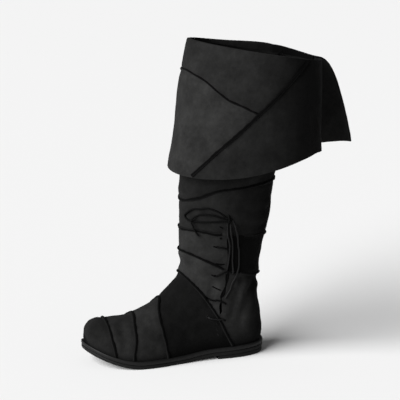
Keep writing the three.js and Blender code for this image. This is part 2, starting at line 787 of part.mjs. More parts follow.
const outsoleTop = (along) => soleBottom(along) + outsoleThickness;
addPart('outsole', layerSolid(soleOutline(outsoleEdge), soleBottom, outsoleTop), 0x191919, 0.7);
addPart('midsole', layerSolid(soleOutline(weltEdge), (along) => outsoleTop(along) + clearance,
  feather), 0x202020, 0.7);
addPart('insole', layerSolid(soleOutline(-wall - insoleInset), (along) => feather(along) + clearance,
  (along) => feather(along) + clearance + insoleThickness), 0x3a3128, 0.9);
const heelBlock = layerSolid(soleOutline(heelEdge), () => 0,
  (along) => Math.max(breastLift / 2, soleBottom(along) - clearance));
addPart('heel', heelBlock.intersect(heelPlan()), 0x181818, 0.7);

export default group;
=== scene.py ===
import math

import bmesh
import bpy
import numpy as np
from mathutils import Matrix, Vector, noise


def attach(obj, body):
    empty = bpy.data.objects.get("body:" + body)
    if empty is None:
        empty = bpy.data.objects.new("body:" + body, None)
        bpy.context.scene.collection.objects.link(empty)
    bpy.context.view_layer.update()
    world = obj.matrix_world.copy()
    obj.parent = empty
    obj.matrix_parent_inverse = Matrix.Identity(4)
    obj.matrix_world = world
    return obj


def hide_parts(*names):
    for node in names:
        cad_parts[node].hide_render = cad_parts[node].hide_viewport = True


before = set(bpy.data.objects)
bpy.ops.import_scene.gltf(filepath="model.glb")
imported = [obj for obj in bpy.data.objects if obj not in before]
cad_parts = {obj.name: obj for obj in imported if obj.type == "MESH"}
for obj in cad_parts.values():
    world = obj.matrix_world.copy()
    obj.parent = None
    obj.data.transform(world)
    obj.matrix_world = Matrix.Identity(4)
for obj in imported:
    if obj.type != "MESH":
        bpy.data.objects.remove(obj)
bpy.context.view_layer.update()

MM = 0.001

# Sizes of the boot in millimetres, as in the part's source
SOLE_LENGTH = 296
HEEL_LENGTH = 87
HEEL_CENTRE = 43
HEEL_LIFT = 8
BREAST_LIFT = 5.5
OUTSOLE_THICKNESS = 5.8
WELT_THICKNESS = 5.8
OUTSOLE_EDGE = 3.2
WELT_EDGE = 3.9
HEEL_EDGE = 2.4
TOE_SPRING = 28
BREAST_HOLLOW = 4
INSOLE_THICKNESS = 3
BALL_WIDTH = 97
INSTEP_HEIGHT = 92
ANKLE_DEPTH = 124
ANKLE_WIDTH = 92
SHAFT_HEIGHT = 476
WALL = 2
CUFF_HEIGHT = 190
CUFF_FLARE = 36
CUFF_THICKNESS = 2
FLARE_POWER = 0.8
SLIT_WIDTH = 7
GUSSET_WIDTH = 34
LACE_DIAMETER = 2.6
TWIST_LENGTH = 3.4
CLEARANCE = 0.3
FACET_ALLOWANCE = 0.5
FLAT_START = 0.51
FLAT_END = 0.7
SPRING_POWER = 1.8

# Foot sections: bottom, under, top, over, outer, inner, shift, foot round, top round
FOOT_ROWS = [
    (0.968, 0.115, 0.968, 0.135, 0.01, 0.01, 0.13, 0.5, 0.5),
    (0.965, 0.0, 0.962, 0.235, 0.13, 0.12, 0.13, 0.45, 0.55),
    (0.944, -0.12, 0.934, 0.355, 0.245, 0.235, 0.122, 0.36, 0.62),
    (0.903, -0.15, 0.887, 0.485, 0.365, 0.335, 0.105, 0.2, 0.7),
    (0.845, -0.15, 0.821, 0.575, 0.455, 0.405, 0.08, 0.13, 0.74),
    (0.77, -0.15, 0.757, 0.635, 0.505, 0.455, 0.055, 0.13, 0.78),
    (0.693, -0.15, 0.693, 0.715, 0.52, 0.465, 0.04, 0.13, 0.8),
    (0.608, -0.15, 0.615, 0.83, 0.495, 0.425, 0.03, 0.12, 0.8),
    (0.507, -0.15, 0.552, 0.99, 0.44, 0.37, 0.025, 0.11, 0.74),
    (0.405, -0.15, 0.502, 1.15, 0.4, 0.345, 0.02, 0.1, 0.66),
]

# Leg sections: back, low, front, high, outer, inner, shift, back round, front round
LEG_ROWS = [
    (0.73, 0.011, 1.115, 0.275, 0.405, 0.365, 0.01, 0.1, 0.6),
    (0.45, 0.011, 1.1, 0.293, 0.41, 0.39, 0, 0.11, 0.55),
    (0.235, 0.011, 1.095, 0.306, 0.42, 0.41, 0, 0.17, 0.52),
    (0.09, 0.016, 1.095, 0.318, 0.425, 0.42, 0, 0.27, 0.5),
    (0.036, 0.044, 1.095, 0.328, 0.43, 0.43, 0, 0.34, 0.5),
    (0.022, 0.084, 1.096, 0.34, 0.44, 0.44, 0, 0.37, 0.5),
    (0.042, 0.132, 1.097, 0.354, 0.45, 0.455, 0, 0.4, 0.5),
    (0.08, 0.186, 1.098, 0.37, 0.46, 0.47, 0, 0.42, 0.5),
    (0.1, 0.24, 1.098, 0.39, 0.475, 0.48, 0, 0.44, 0.5),
    (0.065, 0.3, 1.097, 0.415, 0.5, 0.495, 0, 0.47, 0.5),
    (0.012, 0.375, 1.093, 0.455, 0.525, 0.52, 0, 0.5, 0.5),
    (-0.065, 0.455, 1.087, 0.505, 0.56, 0.55, 0, 0.5, 0.5),
    (-0.1, 0.54, 1.082, 0.572, 0.6, 0.59, 0, 0.5, 0.5),
    (-0.18, 0.635, 1.075, 0.66, 0.66, 0.65, 0, 0.5, 0.5),
    (-0.4, 0.755, 1.055, 0.79, 0.75, 0.74, 0, 0.5, 0.5),
    (-0.6, 0.87, 1.01, 0.92, 0.84, 0.83, 0, 0.5, 0.5),
    (-0.705, 0.957, 0.945, 1.033, 0.89, 0.88, 0, 0.5, 0.5),
]

# The cuff's free edge: turn, drop, flare and how soon the flare opens
CUFF_ROWS = [
    (0.012, 0.772, 0.02, 1),
    (0.06, 0.741, 0.04, 1),
    (0.125, 0.737, 0.22, 1),
    (0.19, 0.793, 0.42, 1),
    (0.25, 0.88, 0.57, 1),
    (0.32, 0.975, 0.62, 1),
    (0.39, 1.028, 0.72, 1),
    (0.45, 1.044, 0.82, 1),
    (0.5, 1.035, 0.86, 1),
    (0.56, 1.02, 0.84, 1),
    (0.64, 0.98, 0.72, 1),
    (0.75, 0.92, 0.58, 0.92),
    (0.85, 0.84, 0.85, 0.8),
    (0.93, 0.77, 1.35, 0.62),
    (0.988, 0.72, 1.8, 0.54),
]

# Raised seams of the boot as place and turn. lean says which way the folded edge lies.
BOOT_SEAMS = {
    "toe": (True, 1, [(4, 0.12), (3.8, 0.205), (3.6, 0.27), (3.45, 0.35), (3.35, 0.43), (3.3, 0.5)]),
    "ball": (True, 1, [(5.1, 0.12), (5.15, 0.2), (5.3, 0.28), (5.35, 0.37), (5.5, 0.44), (5.6, 0.5)]),
    "instep": (True, 1, [(7.4, 0.1), (7.3, 0.205), (7.2, 0.275), (7.1, 0.34), (7.25, 0.42), (7.6, 0.5)]),
    "quarter": (True, 1, [(11, 0.08), (11.1, 0.17), (11.25, 0.225), (11.3, 0.285), (11.25, 0.335),
                          (10.9, 0.39), (10.5, 0.45), (10.4, 0.5)]),
    "ankle_front": (False, 1, [(17.4, 0.268), (17.3, 0.302), (17.1, 0.352), (16.8, 0.403), (16.2, 0.48),
                               (16.2, 0.52), (16.8, 0.6), (17.3, 0.7), (17.7, 0.8)]),
    "ankle_rear": (False, 1, [(17.7, 0.8), (18.2, 0.9), (18.4, 1), (18.4, 1.058), (18.1, 1.14),
                              (17.95, 1.195)]),
    "calf_front": (False, -1, [(20, 0.29), (19.9, 0.315), (19.8, 0.378), (19.6, 0.435), (19.5, 0.5),
                               (19.6, 0.565), (19.8, 0.63), (20, 0.72), (20.1, 0.8)]),
    "calf_rear": (False, -1, [(20.1, 0.8), (20.2, 0.88), (20.35, 1), (20.3, 1.1), (20.2, 1.14),
                              (20.1, 1.2)]),
    "shaft": (True, 1, [(22.45, 0), (22.4, 0.08), (22.3, 0.16), (22.15, 0.24), (22, 0.31), (21.8, 0.35),
                        (21.55, 0.39), (21.3, 0.46), (21.25, 0.5)]),
}

# Raised seams of the cuff as fall and turn
CUFF_FRONT_SEAM = [(0.51, 0.2885), (0.44, 0.325), (0.4, 0.354), (0.34, 0.382), (0.27, 0.419),
                   (0.23, 0.47), (0.225, 0.5)]
CUFF_SIDE_SEAM = [(0.012, 0.1584), (0.06, 0.1665), (0.21, 0.207), (0.38, 0.252), (0.51, 0.2885),
                  (0.58, 0.309), (0.69, 0.341), (0.77, 0.366), (0.87, 0.394), (0.99, 0.427)]

# The lacing slit and the gusset behind it as place and turn
SLIT_PATH = [(11.75, 0.245), (12.6, 0.268), (13.8, 0.279), (15.4, 0.266), (17, 0.25), (18.2, 0.243),
             (19.2, 0.25), (20, 0.262)]
GUSSET_PATH = [(12.8, 0.27), (13.8, 0.279), (15.4, 0.266), (17, 0.25), (18.2, 0.243), (19.2, 0.25),
               (20.35, 0.262)]

# Punched lace holes and the small tacking stitches under the slit as place and turn
LACE_HOLES = [(19.1, 0.298), (16.1, 0.304), (11.8, 0.302), (10.55, 0.247), (17.75, 0.217),
              (13.6, 0.259), (11.75, 0.222), (20.6, 0.252), (20.6, 0.238), (20.6, 0.222),
              (17.8, 0.276), (19.7, 0.288)]
SMALL_HOLES_FROM = 20.5
SMALL_HOLE = 0.72
# Painted shade marks as place and turn, where the lace pinches the suede at its holes
PINCH_SHADE_MARKS = [[(17.62, 0.296), (17.78, 0.28), (17.98, 0.262)], [(14.2, 0.314), (14.45, 0.3), (14.75, 0.284)],
              [(20.35, 0.3), (20.3, 0.287)], [(15.9, 0.318), (16.05, 0.306), (16.3, 0.292)],
              [(11.5, 0.322), (11.75, 0.306), (12.1, 0.295)], [(19.05, 0.312), (19.08, 0.3), (19.12, 0.285)]]
# The seam that joins the collar on its inside
COLLAR_SEAM = [[(25.97, 0.868), (25.86, 0.867), (25.5, 0.85)], [(25.86, 0.868), (25.7, 0.878), (25.5, 0.886)]]
TACK_STITCHES = [(10.9, 0.212), (10.7, 0.188), (10.6, 0.17)]

# Soft creases as place and turn: depth and half width in millimetres, ridge beside the trough
CREASES = [
    (2.6, 7, 1.0, [(17.6, 0.117), (16.4, 0.163), (14.9, 0.195), (13.4, 0.198)]),
    (1.9, 5, 0.9, [(17.4, 0.185), (16.0, 0.215), (14.4, 0.23), (12.8, 0.228)]),
    (2.8, 6, 1.2, [(18.2, 0.0), (18.1, 0.09), (18.0, 0.142), (17.5, 0.19)]),
    (2.4, 8, 1.0, [(12.6, 0.5), (12.8, 0.49), (13.5, 0.425), (13.4, 0.378)]),
    (-2.2, 9, 0.0, [(21.8, 0.465), (22.1, 0.365), (22.4, 0.282), (22.6, 0.198)]),
    (1.8, 7, 0.8, [(21.3, 0.095), (21.2, 0.172), (21.3, 0.228)]),
    (1.3, 6, 0.6, [(20.9, 0.357), (20.8, 0.323), (20.7, 0.287)]),
    (1.6, 6, 0.7, [(20.6, 0.12), (20.5, 0.185), (20.4, 0.233)]),
    (1.4, 7, 0.5, [(7.7, 0.41), (8.3, 0.347), (9.2, 0.307)]),
    (1.0, 6, 0.5, [(6.4, 0.318), (7.0, 0.265), (7.8, 0.235)]),
    (0.9, 6, 0.4, [(4.4, 0.38), (4.5, 0.302), (4.6, 0.225)]),
    (1.4, 7, 0.6, [(8.9, 0.207), (10.0, 0.2), (10.7, 0.193)]),
    (1.2, 7, 0.5, [(18.1, 0.438), (18.3, 0.378), (18.2, 0.325)]),
    (1.2, 5, 0.5, [(15.0, 0.307), (12.9, 0.312), (11.6, 0.3)]),
    (2.2, 7, 0.9, [(17.4, 0.86), (16.2, 0.83), (14.9, 0.8), (13.4, 0.79)]),
    (2.4, 7, 1.0, [(18.2, 1.0), (18.1, 0.9), (17.8, 0.82)]),
    (2.0, 7, 0.8, [(12.6, 0.5), (13.2, 0.56), (13.6, 0.62)]),
    (-2.0, 9, 0.0, [(21.8, 0.535), (22.1, 0.635), (22.4, 0.72), (22.6, 0.8)]),
    (1.6, 7, 0.6, [(21.4, 0.9), (21.2, 0.82), (21.0, 0.75)]),
    (-3.2, 11, 0.0, [(1.9, 0.38), (2.4, 0.45), (2.7, 0.5), (2.4, 0.55), (1.9, 0.62)]),
    (2.4, 11, 0.0, [(0.8, 0.34), (1.0, 0.42), (1.1, 0.5), (1.0, 0.58), (0.8, 0.66)]),
    (1.4, 7, 0.5, [(7.7, 0.59), (8.3, 0.65), (9.2, 0.69)]),
]

# Lace runs in metres, as in the part's source
LACE_LOOP = [(-0.0375, -0.0519, 0.2285), (-0.0441, -0.0508, 0.2335), (-0.0512, -0.049, 0.2378),
             (-0.063, -0.0441, 0.2415), (-0.0736, -0.0372, 0.24), (-0.0822, -0.029, 0.2385),
             (-0.0886, -0.0202, 0.2315), (-0.0904, -0.0169, 0.2269), (-0.088, -0.0215, 0.2216),
             (-0.0808, -0.0304, 0.2199), (-0.0701, -0.0389, 0.2199), (-0.0601, -0.0443, 0.2204),
             (-0.0494, -0.0484, 0.2209), (-0.0384, -0.0512, 0.2214)]
LACE_END = [(-0.0383, -0.0515, 0.2251), (-0.0452, -0.0501, 0.2273), (-0.0538, -0.0475, 0.2304),
            (-0.0643, -0.0428, 0.2319), (-0.0725, -0.0376, 0.2311), (-0.0795, -0.0331, 0.2275),
            (-0.084, -0.0314, 0.2231), (-0.0844, -0.031, 0.2179), (-0.0825, -0.0323, 0.2128),
            (-0.0808, -0.0337, 0.2076), (-0.0781, -0.0353, 0.2028), (-0.0744, -0.036, 0.1981)]
LACE_TAIL = [(-0.0265, -0.0528, 0.2226), (-0.0228, -0.053, 0.2154), (-0.0207, -0.054, 0.2067),
             (-0.0185, -0.053, 0.1983), (-0.0173, -0.0521, 0.1918), (-0.0158, -0.0494, 0.182),
             (-0.0138, -0.0479, 0.1722), (-0.0133, -0.047, 0.1606), (-0.013, -0.0457, 0.1483),
             (-0.0146, -0.0452, 0.1403), (-0.0179, -0.0448, 0.1307), (-0.0232, -0.044, 0.1209),
             (-0.0261, -0.0433, 0.1114), (-0.0307, -0.0424, 0.1033), (-0.0336, -0.0416, 0.0978)]

# Lace rows and strands over the slit as place, turn and raise in lace diameters. The end points
# below the surface go through the holes.
LACE_ROWS = {
    "top_row": [(19.1, 0.298, -1.3), (19.12, 0.292, 0), (19.2, 0.275, 0.1), (19.2, 0.258, 0),
                (19.2, 0.246, -0.6)],
    "second_row": [(16.1, 0.304, -1.3), (16.15, 0.299, 0), (16.75, 0.281, 0.35), (17.4, 0.256, 0.35),
                   (17.7, 0.226, 0), (17.75, 0.217, -1.3)],
    "third_row": [(11.8, 0.302, -1.3), (11.95, 0.298, 0), (12.3, 0.292, 0), (13, 0.284, 0.1),
                  (13.5, 0.266, 0), (13.6, 0.259, -1.3)],
    "low_row": [(10.55, 0.247, -1.3), (10.6, 0.244, 0.3), (10.8, 0.239, 1.1), (11.1, 0.234, 1.1),
                (11.65, 0.227, 0.6), (11.75, 0.222, -1.3)],
    "front_strand": [(20.62, 0.276, 0), (20.2, 0.27, 0), (19.9, 0.265, 0.6), (19.5, 0.255, 0.6),
                     (18.9, 0.25, 0.1), (18.2, 0.248, 0), (17.5, 0.252, -0.6), (17.2, 0.253, -1.3)],
    "rear_strand": [(20.62, 0.265, 0), (20.3, 0.26, 0.4), (20, 0.255, 1), (19.7, 0.247, 0.6),
                    (19.2, 0.24, 0.2), (18.5, 0.233, 0.1), (17.9, 0.228, 0.7), (17.6, 0.229, 0.4),
                    (17.45, 0.232, -0.8)],
}
# These runs keep the plain cord; the other runs get the copy with painted shade
UNSHADED_RUNS = ("front_strand", "rear_strand", "low_row")
KNOT_WRAPS = [
    [(20.86, 0.286, -0.2), (20.86, 0.281, 0.25), (20.86, 0.272, 0.4), (20.84, 0.265, 0.1),
     (20.84, 0.261, -0.4)],
    [(20.74, 0.286, -0.2), (20.74, 0.281, 0.25), (20.74, 0.272, 0.4), (20.74, 0.265, 0.1),
     (20.74, 0.261, -0.4)],
    [(21.02, 0.277, 0), (20.95, 0.276, 0.8), (20.8, 0.274, 1.2), (20.66, 0.273, 0.8), (20.6, 0.272, 0)],
]


def read_smoothly(table, place):
    """Rows of a table at fractional places, on a smooth curve through its rows."""
    last = len(table) - 1
    row = np.clip(np.floor(place).astype(int), 0, last - 1)
    share = (place - row)[..., None]
    before = table[np.clip(row - 1, 0, last)]
    start = table[row]
    end = table[row + 1]
    after = table[np.clip(row + 2, 0, last)]
    return 0.5 * (2 * start + (end - before) * share
                  + (2 * before - 5 * start + 4 * end - after) * share ** 2
                  + (3 * start - before - 3 * end + after) * share ** 3)


def sole_bottom(along):
    """Height of the sole's ground face at a distance forward of the heel's rear end."""
    along = np.asarray(along, dtype=float)
    flat_from = FLAT_START * SOLE_LENGTH
    flat_to = FLAT_END * SOLE_LENGTH
    heel = HEEL_LIFT + (BREAST_LIFT - HEEL_LIFT) * along / HEEL_LENGTH
    waist_share = np.clip((flat_from - along) / (flat_from - HEEL_LENGTH), 0, 1)
    waist = BREAST_LIFT * waist_share ** 2 * (3 - 2 * waist_share)
    rise = np.clip((along - flat_to) / (SOLE_LENGTH - flat_to), 0, None)
    return np.where(along <= HEEL_LENGTH, heel, waist + TOE_SPRING * rise ** SPRING_POWER)


def feather(along):
    """Height of the line where the upper meets the sole."""
    return sole_bottom(along) + OUTSOLE_THICKNESS + CLEARANCE + WELT_THICKNESS


def section_table():
    rows = []
    for bottom, under, top, over, outer, inner, shift, foot_round, top_round in FOOT_ROWS:
        rows.append((bottom * SOLE_LENGTH, feather(bottom * SOLE_LENGTH) + under * INSTEP_HEIGHT,
                     top * SOLE_LENGTH, feather(top * SOLE_LENGTH) + over * INSTEP_HEIGHT,
                     outer * BALL_WIDTH, inner * BALL_WIDTH, shift * BALL_WIDTH, foot_round, top_round))
    for back, low, front, high, outer, inner, shift, back_round, front_round in LEG_ROWS:
        rows.append((back * ANKLE_DEPTH, low * SHAFT_HEIGHT, front * ANKLE_DEPTH, high * SHAFT_HEIGHT,
                     outer * ANKLE_WIDTH, inner * ANKLE_WIDTH, shift * ANKLE_WIDTH, back_round,
                     front_round))
    return np.array(rows, dtype=float)


SECTIONS = section_table()
RIM = len(SECTIONS) - 1


def round_end(share, length):
    rest = np.clip(1 - share / length, 0, 1)
    return np.sqrt(np.clip(1 - rest ** 2, 0, None))


def face_points(place, turn):
    """Points of the upper's outer face in millimetres."""
    place, turn = np.broadcast_arrays(np.asarray(place, float), np.asarray(turn, float))
    back, low, front, high, outer, inner, shift, back_round, front_round = np.moveaxis(
        read_smoothly(SECTIONS, place), -1, 0)
    angle = 2 * np.pi * turn
    share = (1 - np.cos(angle)) / 2
    side = np.where(np.sin(angle) >= 0, -outer, inner)
    width = round_end(share, back_round) * round_end(1 - share, front_round)
    return np.stack([HEEL_CENTRE - (back + (front - back) * share), shift + side * width,
                     low + (high - low) * share], axis=-1)


def unit(vectors):
    return vectors / np.maximum(np.linalg.norm(vectors, axis=-1, keepdims=True), 1e-9)


def face_normals(place, turn):
    step = 0.01
    place = np.clip(np.asarray(place, float), step, RIM)
    turn = np.asarray(turn, float)
    along = face_points(place + step / 2, turn) - face_points(place - step / 2, turn)
    around = face_points(place, turn + step) - face_points(place, turn - step)
    return unit(np.cross(along, around))


def reach_along(points):
    """How far along a line of points each of them lies."""
    return np.concatenate([[0], np.cumsum(np.linalg.norm(np.diff(points, axis=0), axis=1))])


def lifted(run, lift, at=face_points):
    """Points of a run of places and turns, lifted off the face by millimetres."""
    return at(run[:, 0], run[:, 1]) + face_normals(run[:, 0], run[:, 1]) * np.reshape(lift, (-1, 1))


def turn_width(place, turn):
    """Millimetres along the face for one whole turn, at a place and turn."""
    return np.linalg.norm(face_points(place, turn + 0.01) - face_points(place, turn - 0.01), axis=1) / 0.02


def path_points(path, count, at=face_points):
    """Evenly spread points of a smooth path given as table pairs, as pairs again."""
    table = np.array(path, dtype=float)
    fine = read_smoothly(table, np.linspace(0, len(table) - 1, 400))
    reach = reach_along(at(fine[:, 0], fine[:, 1]))
    even = np.linspace(0, reach[-1], count)
    return np.stack([np.interp(even, reach, fine[:, column]) for column in range(table.shape[1])], axis=-1)


def distance_to_line(points, line):
    """Distance of points from a line of points."""
    best = np.full(points.shape[:-1], 1e9)
    for start, end in zip(line[:-1], line[1:]):
        step = end - start
        share = np.clip(((points - start) @ step) / max(step @ step, 1e-9), 0, 1)
        away = np.linalg.norm(points - (start + share[..., None] * step), axis=-1)
        best = np.minimum(best, away)
    return best


def seam_lines():
    lines = []
    for mirrored, lean, path in BOOT_SEAMS.values():
        full = path + [(place, 1 - turn) for place, turn in reversed(path[:-1])] if mirrored else path
        lines.append((lean, path_points(full, 120 if mirrored else 70)))
    return lines


SEAM_LINES = seam_lines()


# The suede is drawn in at its seams, and lies calm where it meets the sole
SEAM_DIP = 0.9
SEAM_DIP_WIDTH = 4.5
CUFF_SEAM_DIP = 1.1
CUFF_SEAM_DIP_WIDTH = 6
CALM_HEIGHT = 14


def relief(place, turn):
    """How far the suede stands off its even form: creases, dips at the seams, soft unevenness."""
    points = face_points(place, turn)
    raised = np.zeros(points.shape[:-1])
    for depth, width, ridge, path in CREASES:
        line = path_points(path, 12)
        spots = face_points(line[:, 0], line[:, 1])
        away = distance_to_line(points, spots)
        raised -= depth * np.exp(-(away / width) ** 2)
        raised += ridge * np.exp(-((away - 1.9 * width) / width) ** 2)
    for _, line in SEAM_LINES:
        spots = face_points(line[::3, 0], line[::3, 1])
        raised -= SEAM_DIP * np.exp(-(distance_to_line(points, spots) / SEAM_DIP_WIDTH) ** 2)
    waves = np.array([noise.noise(Vector(spot) / 27) * 1.5 + noise.noise(Vector(spot) / 11) * 0.45
                      for spot in points.reshape(-1, 3)])
    calm = np.clip((points[..., 2] - feather(HEEL_CENTRE - points[..., 0])) / CALM_HEIGHT, 0, 1)
    return (raised + waves.reshape(raised.shape)) * calm


def skin_points(place, turn, offset=0.0):
    """Points of the creased outer face, raised by an offset in millimetres."""
    height = relief(place, turn) + offset
    return face_points(place, turn) + face_normals(place, turn) * height[..., None]


def cuff_points(fall, turn):
    """Points of the cuff's inner guide face in millimetres. It hangs from the rim."""
    fall, turn = np.broadcast_arrays(np.asarray(fall, float), np.asarray(turn, float))
    table = np.array(CUFF_ROWS)
    row = np.interp(turn, table[:, 0], np.arange(len(table)))
    _, drop, flare, bow = np.moveaxis(read_smoothly(table, row), -1, 0)
    rim = face_points(RIM, turn)
    ahead = face_points(RIM, turn + 0.01) - face_points(RIM, turn - 0.01)
    outward = unit(np.stack([-ahead[..., 1], ahead[..., 0], np.zeros(turn.shape)], axis=-1))
    spread = CLEARANCE + FACET_ALLOWANCE + flare * CUFF_FLARE * np.clip(fall, 0, None) ** (bow * FLARE_POWER)
    points = rim + outward * spread[..., None]
    points[..., 2] -= drop * CUFF_HEIGHT * fall
    return points


def cuff_normals(fall, turn):
    step = 0.01
    fall = np.clip(fall, step, 1 - step)
    down = cuff_points(fall + step, turn) - cuff_points(fall - step, turn)
    around = cuff_points(fall, turn + step) - cuff_points(fall, turn - step)
    return unit(np.cross(around, down))


def mirrored(path):
    return [(fall, 1 - turn) for fall, turn in path]


CUFF_SEAMS = [
    path_points(CUFF_FRONT_SEAM + mirrored(CUFF_FRONT_SEAM)[-2::-1], 130, cuff_points),
    path_points(CUFF_SIDE_SEAM, 110, cuff_points),
    path_points(mirrored(CUFF_SIDE_SEAM), 110, cuff_points),
]


def cuff_relief(fall, turn):
    """Soft waves of the hanging cuff, and dips at its seams."""
    points = cuff_points(fall, turn)
    raised = np.zeros(points.shape[:-1])
    for line in CUFF_SEAMS:
        spots = cuff_points(line[::3, 0], line[::3, 1])
        raised -= CUFF_SEAM_DIP * np.exp(-(distance_to_line(points, spots) / CUFF_SEAM_DIP_WIDTH) ** 2)
    waves = np.array([noise.noise(Vector((spot[0], spot[1], spot[2] * 0.45)) / 46) * 3.4
                      + noise.noise(Vector(spot) / 16) * 0.6 for spot in points.reshape(-1, 3)])
    return raised + waves.reshape(raised.shape) * np.clip(fall * 2.2, 0, 1)


def cuff_skin(fall, turn, offset=0.0):
    height = cuff_relief(fall, turn) + CUFF_THICKNESS + offset
    return cuff_points(fall, turn) + cuff_normals(fall, turn) * height[..., None]


# Making pieces


def new_grid(name, columns, rows):
    """A flat grid with its own mesh, and the column and row share of each of its corners."""
    bpy.ops.object.select_all(action="DESELECT")
    bpy.ops.mesh.primitive_grid_add(x_subdivisions=columns, y_subdivisions=rows, size=2)
    piece = bpy.context.active_object
    piece.name = name
    piece.data.name = name
    corners = np.empty(len(piece.data.vertices) * 3)
    piece.data.vertices.foreach_get("co", corners)
    corners = corners.reshape(-1, 3)
    return piece, (corners[:, 0] + 1) / 2, (corners[:, 1] + 1) / 2


def place_corners(piece, points):
    """Moves the corners of a piece to points in millimetres."""
    piece.data.vertices.foreach_set("co", (points * MM).ravel())
    piece.data.update()


def weld(piece, distance=0.02):
    bm = bmesh.new()
    bm.from_mesh(piece.data)
    bmesh.ops.remove_doubles(bm, verts=bm.verts, dist=distance * MM)
    bm.to_mesh(piece.data)
    bm.free()


def face_means(piece, values):
    """The mean of a value of the corners over each face."""
    return np.array([values[list(face.vertices)].mean() for face in piece.data.polygons])


def set_tone(piece, tones):
    attribute = piece.data.attributes.new("tone", "FLOAT", "FACE")
    attribute.data.foreach_set("value", np.asarray(tones, dtype=np.float32))


def drop_faces(piece, dropped):
    bm = bmesh.new()
    bm.from_mesh(piece.data)
    bm.faces.ensure_lookup_table()
    gone = [bm.faces[index] for index in np.nonzero(dropped)[0]]
    bmesh.ops.delete(bm, geom=gone, context="FACES")
    bm.to_mesh(piece.data)
    bm.free()


def activate(piece):
    bpy.ops.object.select_all(action="DESELECT")
    piece.select_set(True)
    bpy.context.view_layer.objects.active = piece


def thicken(piece, thickness, inner_tone=None):
    """Gives a sheet its wall, inwards from its outer face. The flesh side can have its own tone."""
    outer_faces = len(piece.data.polygons)
    activate(piece)
    wall = piece.modifiers.new("wall", "SOLIDIFY")
    wall.thickness = thickness * MM
    wall.offset = -1
    bpy.ops.object.modifier_apply(modifier=wall.name)
    if inner_tone is not None:
        for value in piece.data.attributes["tone"].data[outer_faces:2 * outer_faces]:
            value.value = inner_tone


def finish_piece(piece, material, slot, *nodes, angle=50):
    """Gives a piece its material, body and the CAD nodes it stands for, and smooths it. Its slot is not used.
    """
    if material:
        piece.data.materials.clear()
        piece.data.materials.append(material)
    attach(piece, "root")
    if nodes:
        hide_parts(*nodes)
    if angle:
        activate(piece)
        bpy.ops.object.shade_smooth_by_angle(angle=math.radians(angle))
    return piece


def even_line(points, spacing):
    """A smooth line through points, with its own points at an even spacing."""
    table = np.array(points, dtype=float)
    fine = read_smoothly(table, np.linspace(0, len(table) - 1, 600))
    reach = reach_along(fine)
    count = max(4, int(round(reach[-1] / spacing)) + 1)
    even = np.linspace(0, reach[-1], count)
    return np.stack([np.interp(even, reach, fine[:, axis]) for axis in range(3)], axis=-1)


def line_frames(line):
    """Sideways and upward directions that don't twist along a line."""
    forward = unit(np.gradient(line, axis=0))
    sideways = np.zeros_like(line)
    start = np.cross(forward[0], [0.3, -1.0, 0.2])
    sideways[0] = start / np.linalg.norm(start)
    for index in range(1, len(line)):
        side = sideways[index - 1] - forward[index] * (sideways[index - 1] @ forward[index])
        sideways[index] = side / np.linalg.norm(side)
    return sideways, np.cross(forward, sideways)


def lace_tube(name, points, diameter=LACE_DIAMETER, spacing=0.55, sides=12, twist=True):
    """A twisted round lace along points in millimetres, closed at both ends."""
    line = even_line(points, spacing)
    piece, around, along = new_grid(name, sides, len(line) + 1)
    row = np.rint(along * (len(line) + 1)).astype(int)
    station = np.clip(row - 1, 0, len(line) - 1)
    sideways, upward = line_frames(line)
    angle = 2 * np.pi * around
    travel = station * spacing
    strands = 0.1 * np.cos(2 * angle - travel * 2 * np.pi / TWIST_LENGTH) if twist else 0
    radius = diameter / 2 * (0.96 + strands)
    radius = np.where((row == 0) | (row == len(line) + 1), 0, radius)
    points = line[station] + sideways[station] * (np.cos(angle) * radius)[:, None] \
        + upward[station] * (np.sin(angle) * radius)[:, None]
    place_corners(piece, points)
    weld(piece)
    outward_normals(piece)
    return piece, line


def outward_normals(piece):
    activate(piece)
    bpy.ops.object.mode_set(mode="EDIT")
    bpy.ops.mesh.select_all(action="SELECT")
    bpy.ops.mesh.normals_make_consistent(inside=False)
    bpy.ops.object.mode_set(mode="OBJECT")


def join_pieces(name, pieces):
    bpy.ops.object.select_all(action="DESELECT")
    for piece in pieces:
        piece.select_set(True)
    bpy.context.view_layer.objects.active = pieces[0]
    bpy.ops.object.join()
    pieces[0].name = name
    pieces[0].data.name = name
    return pieces[0]


# Materials


def from_hex(code):
    """An sRGB hex colour as linear values."""
    values = [int(code[index:index + 2], 16) / 255 for index in (1, 3, 5)]
    return [value / 12.92 if value <= 0.04045 else ((value + 0.055) / 1.055) ** 2.4 for value in values]


def grey(level):
    """The linear value of an sRGB grey from 0 to 255."""
    return from_hex("#%02x%02x%02x" % (level, level, level))[0]


def add_node(material, kind, settings=None, values=None, links=None):
    """Adds a shader node with its settings, its socket values and the sockets that feed it."""
    made = material.node_tree.nodes.new(kind)
    for key, value in (settings or {}).items():
        setattr(made, key, value)
    for key, value in (values or {}).items():
        made.inputs[key].default_value = value
    for key, socket in (links or {}).items():
        material.node_tree.links.new(socket, made.inputs[key])
    return made


def new_material(name):
    material = bpy.data.materials.new(name)
    material.use_nodes = True
    material.node_tree.nodes.clear()
    return material


def finish_material(material, shader):
    add_node(material, "ShaderNodeOutputMaterial", links={"Surface": shader.outputs["BSDF"]})
    return material


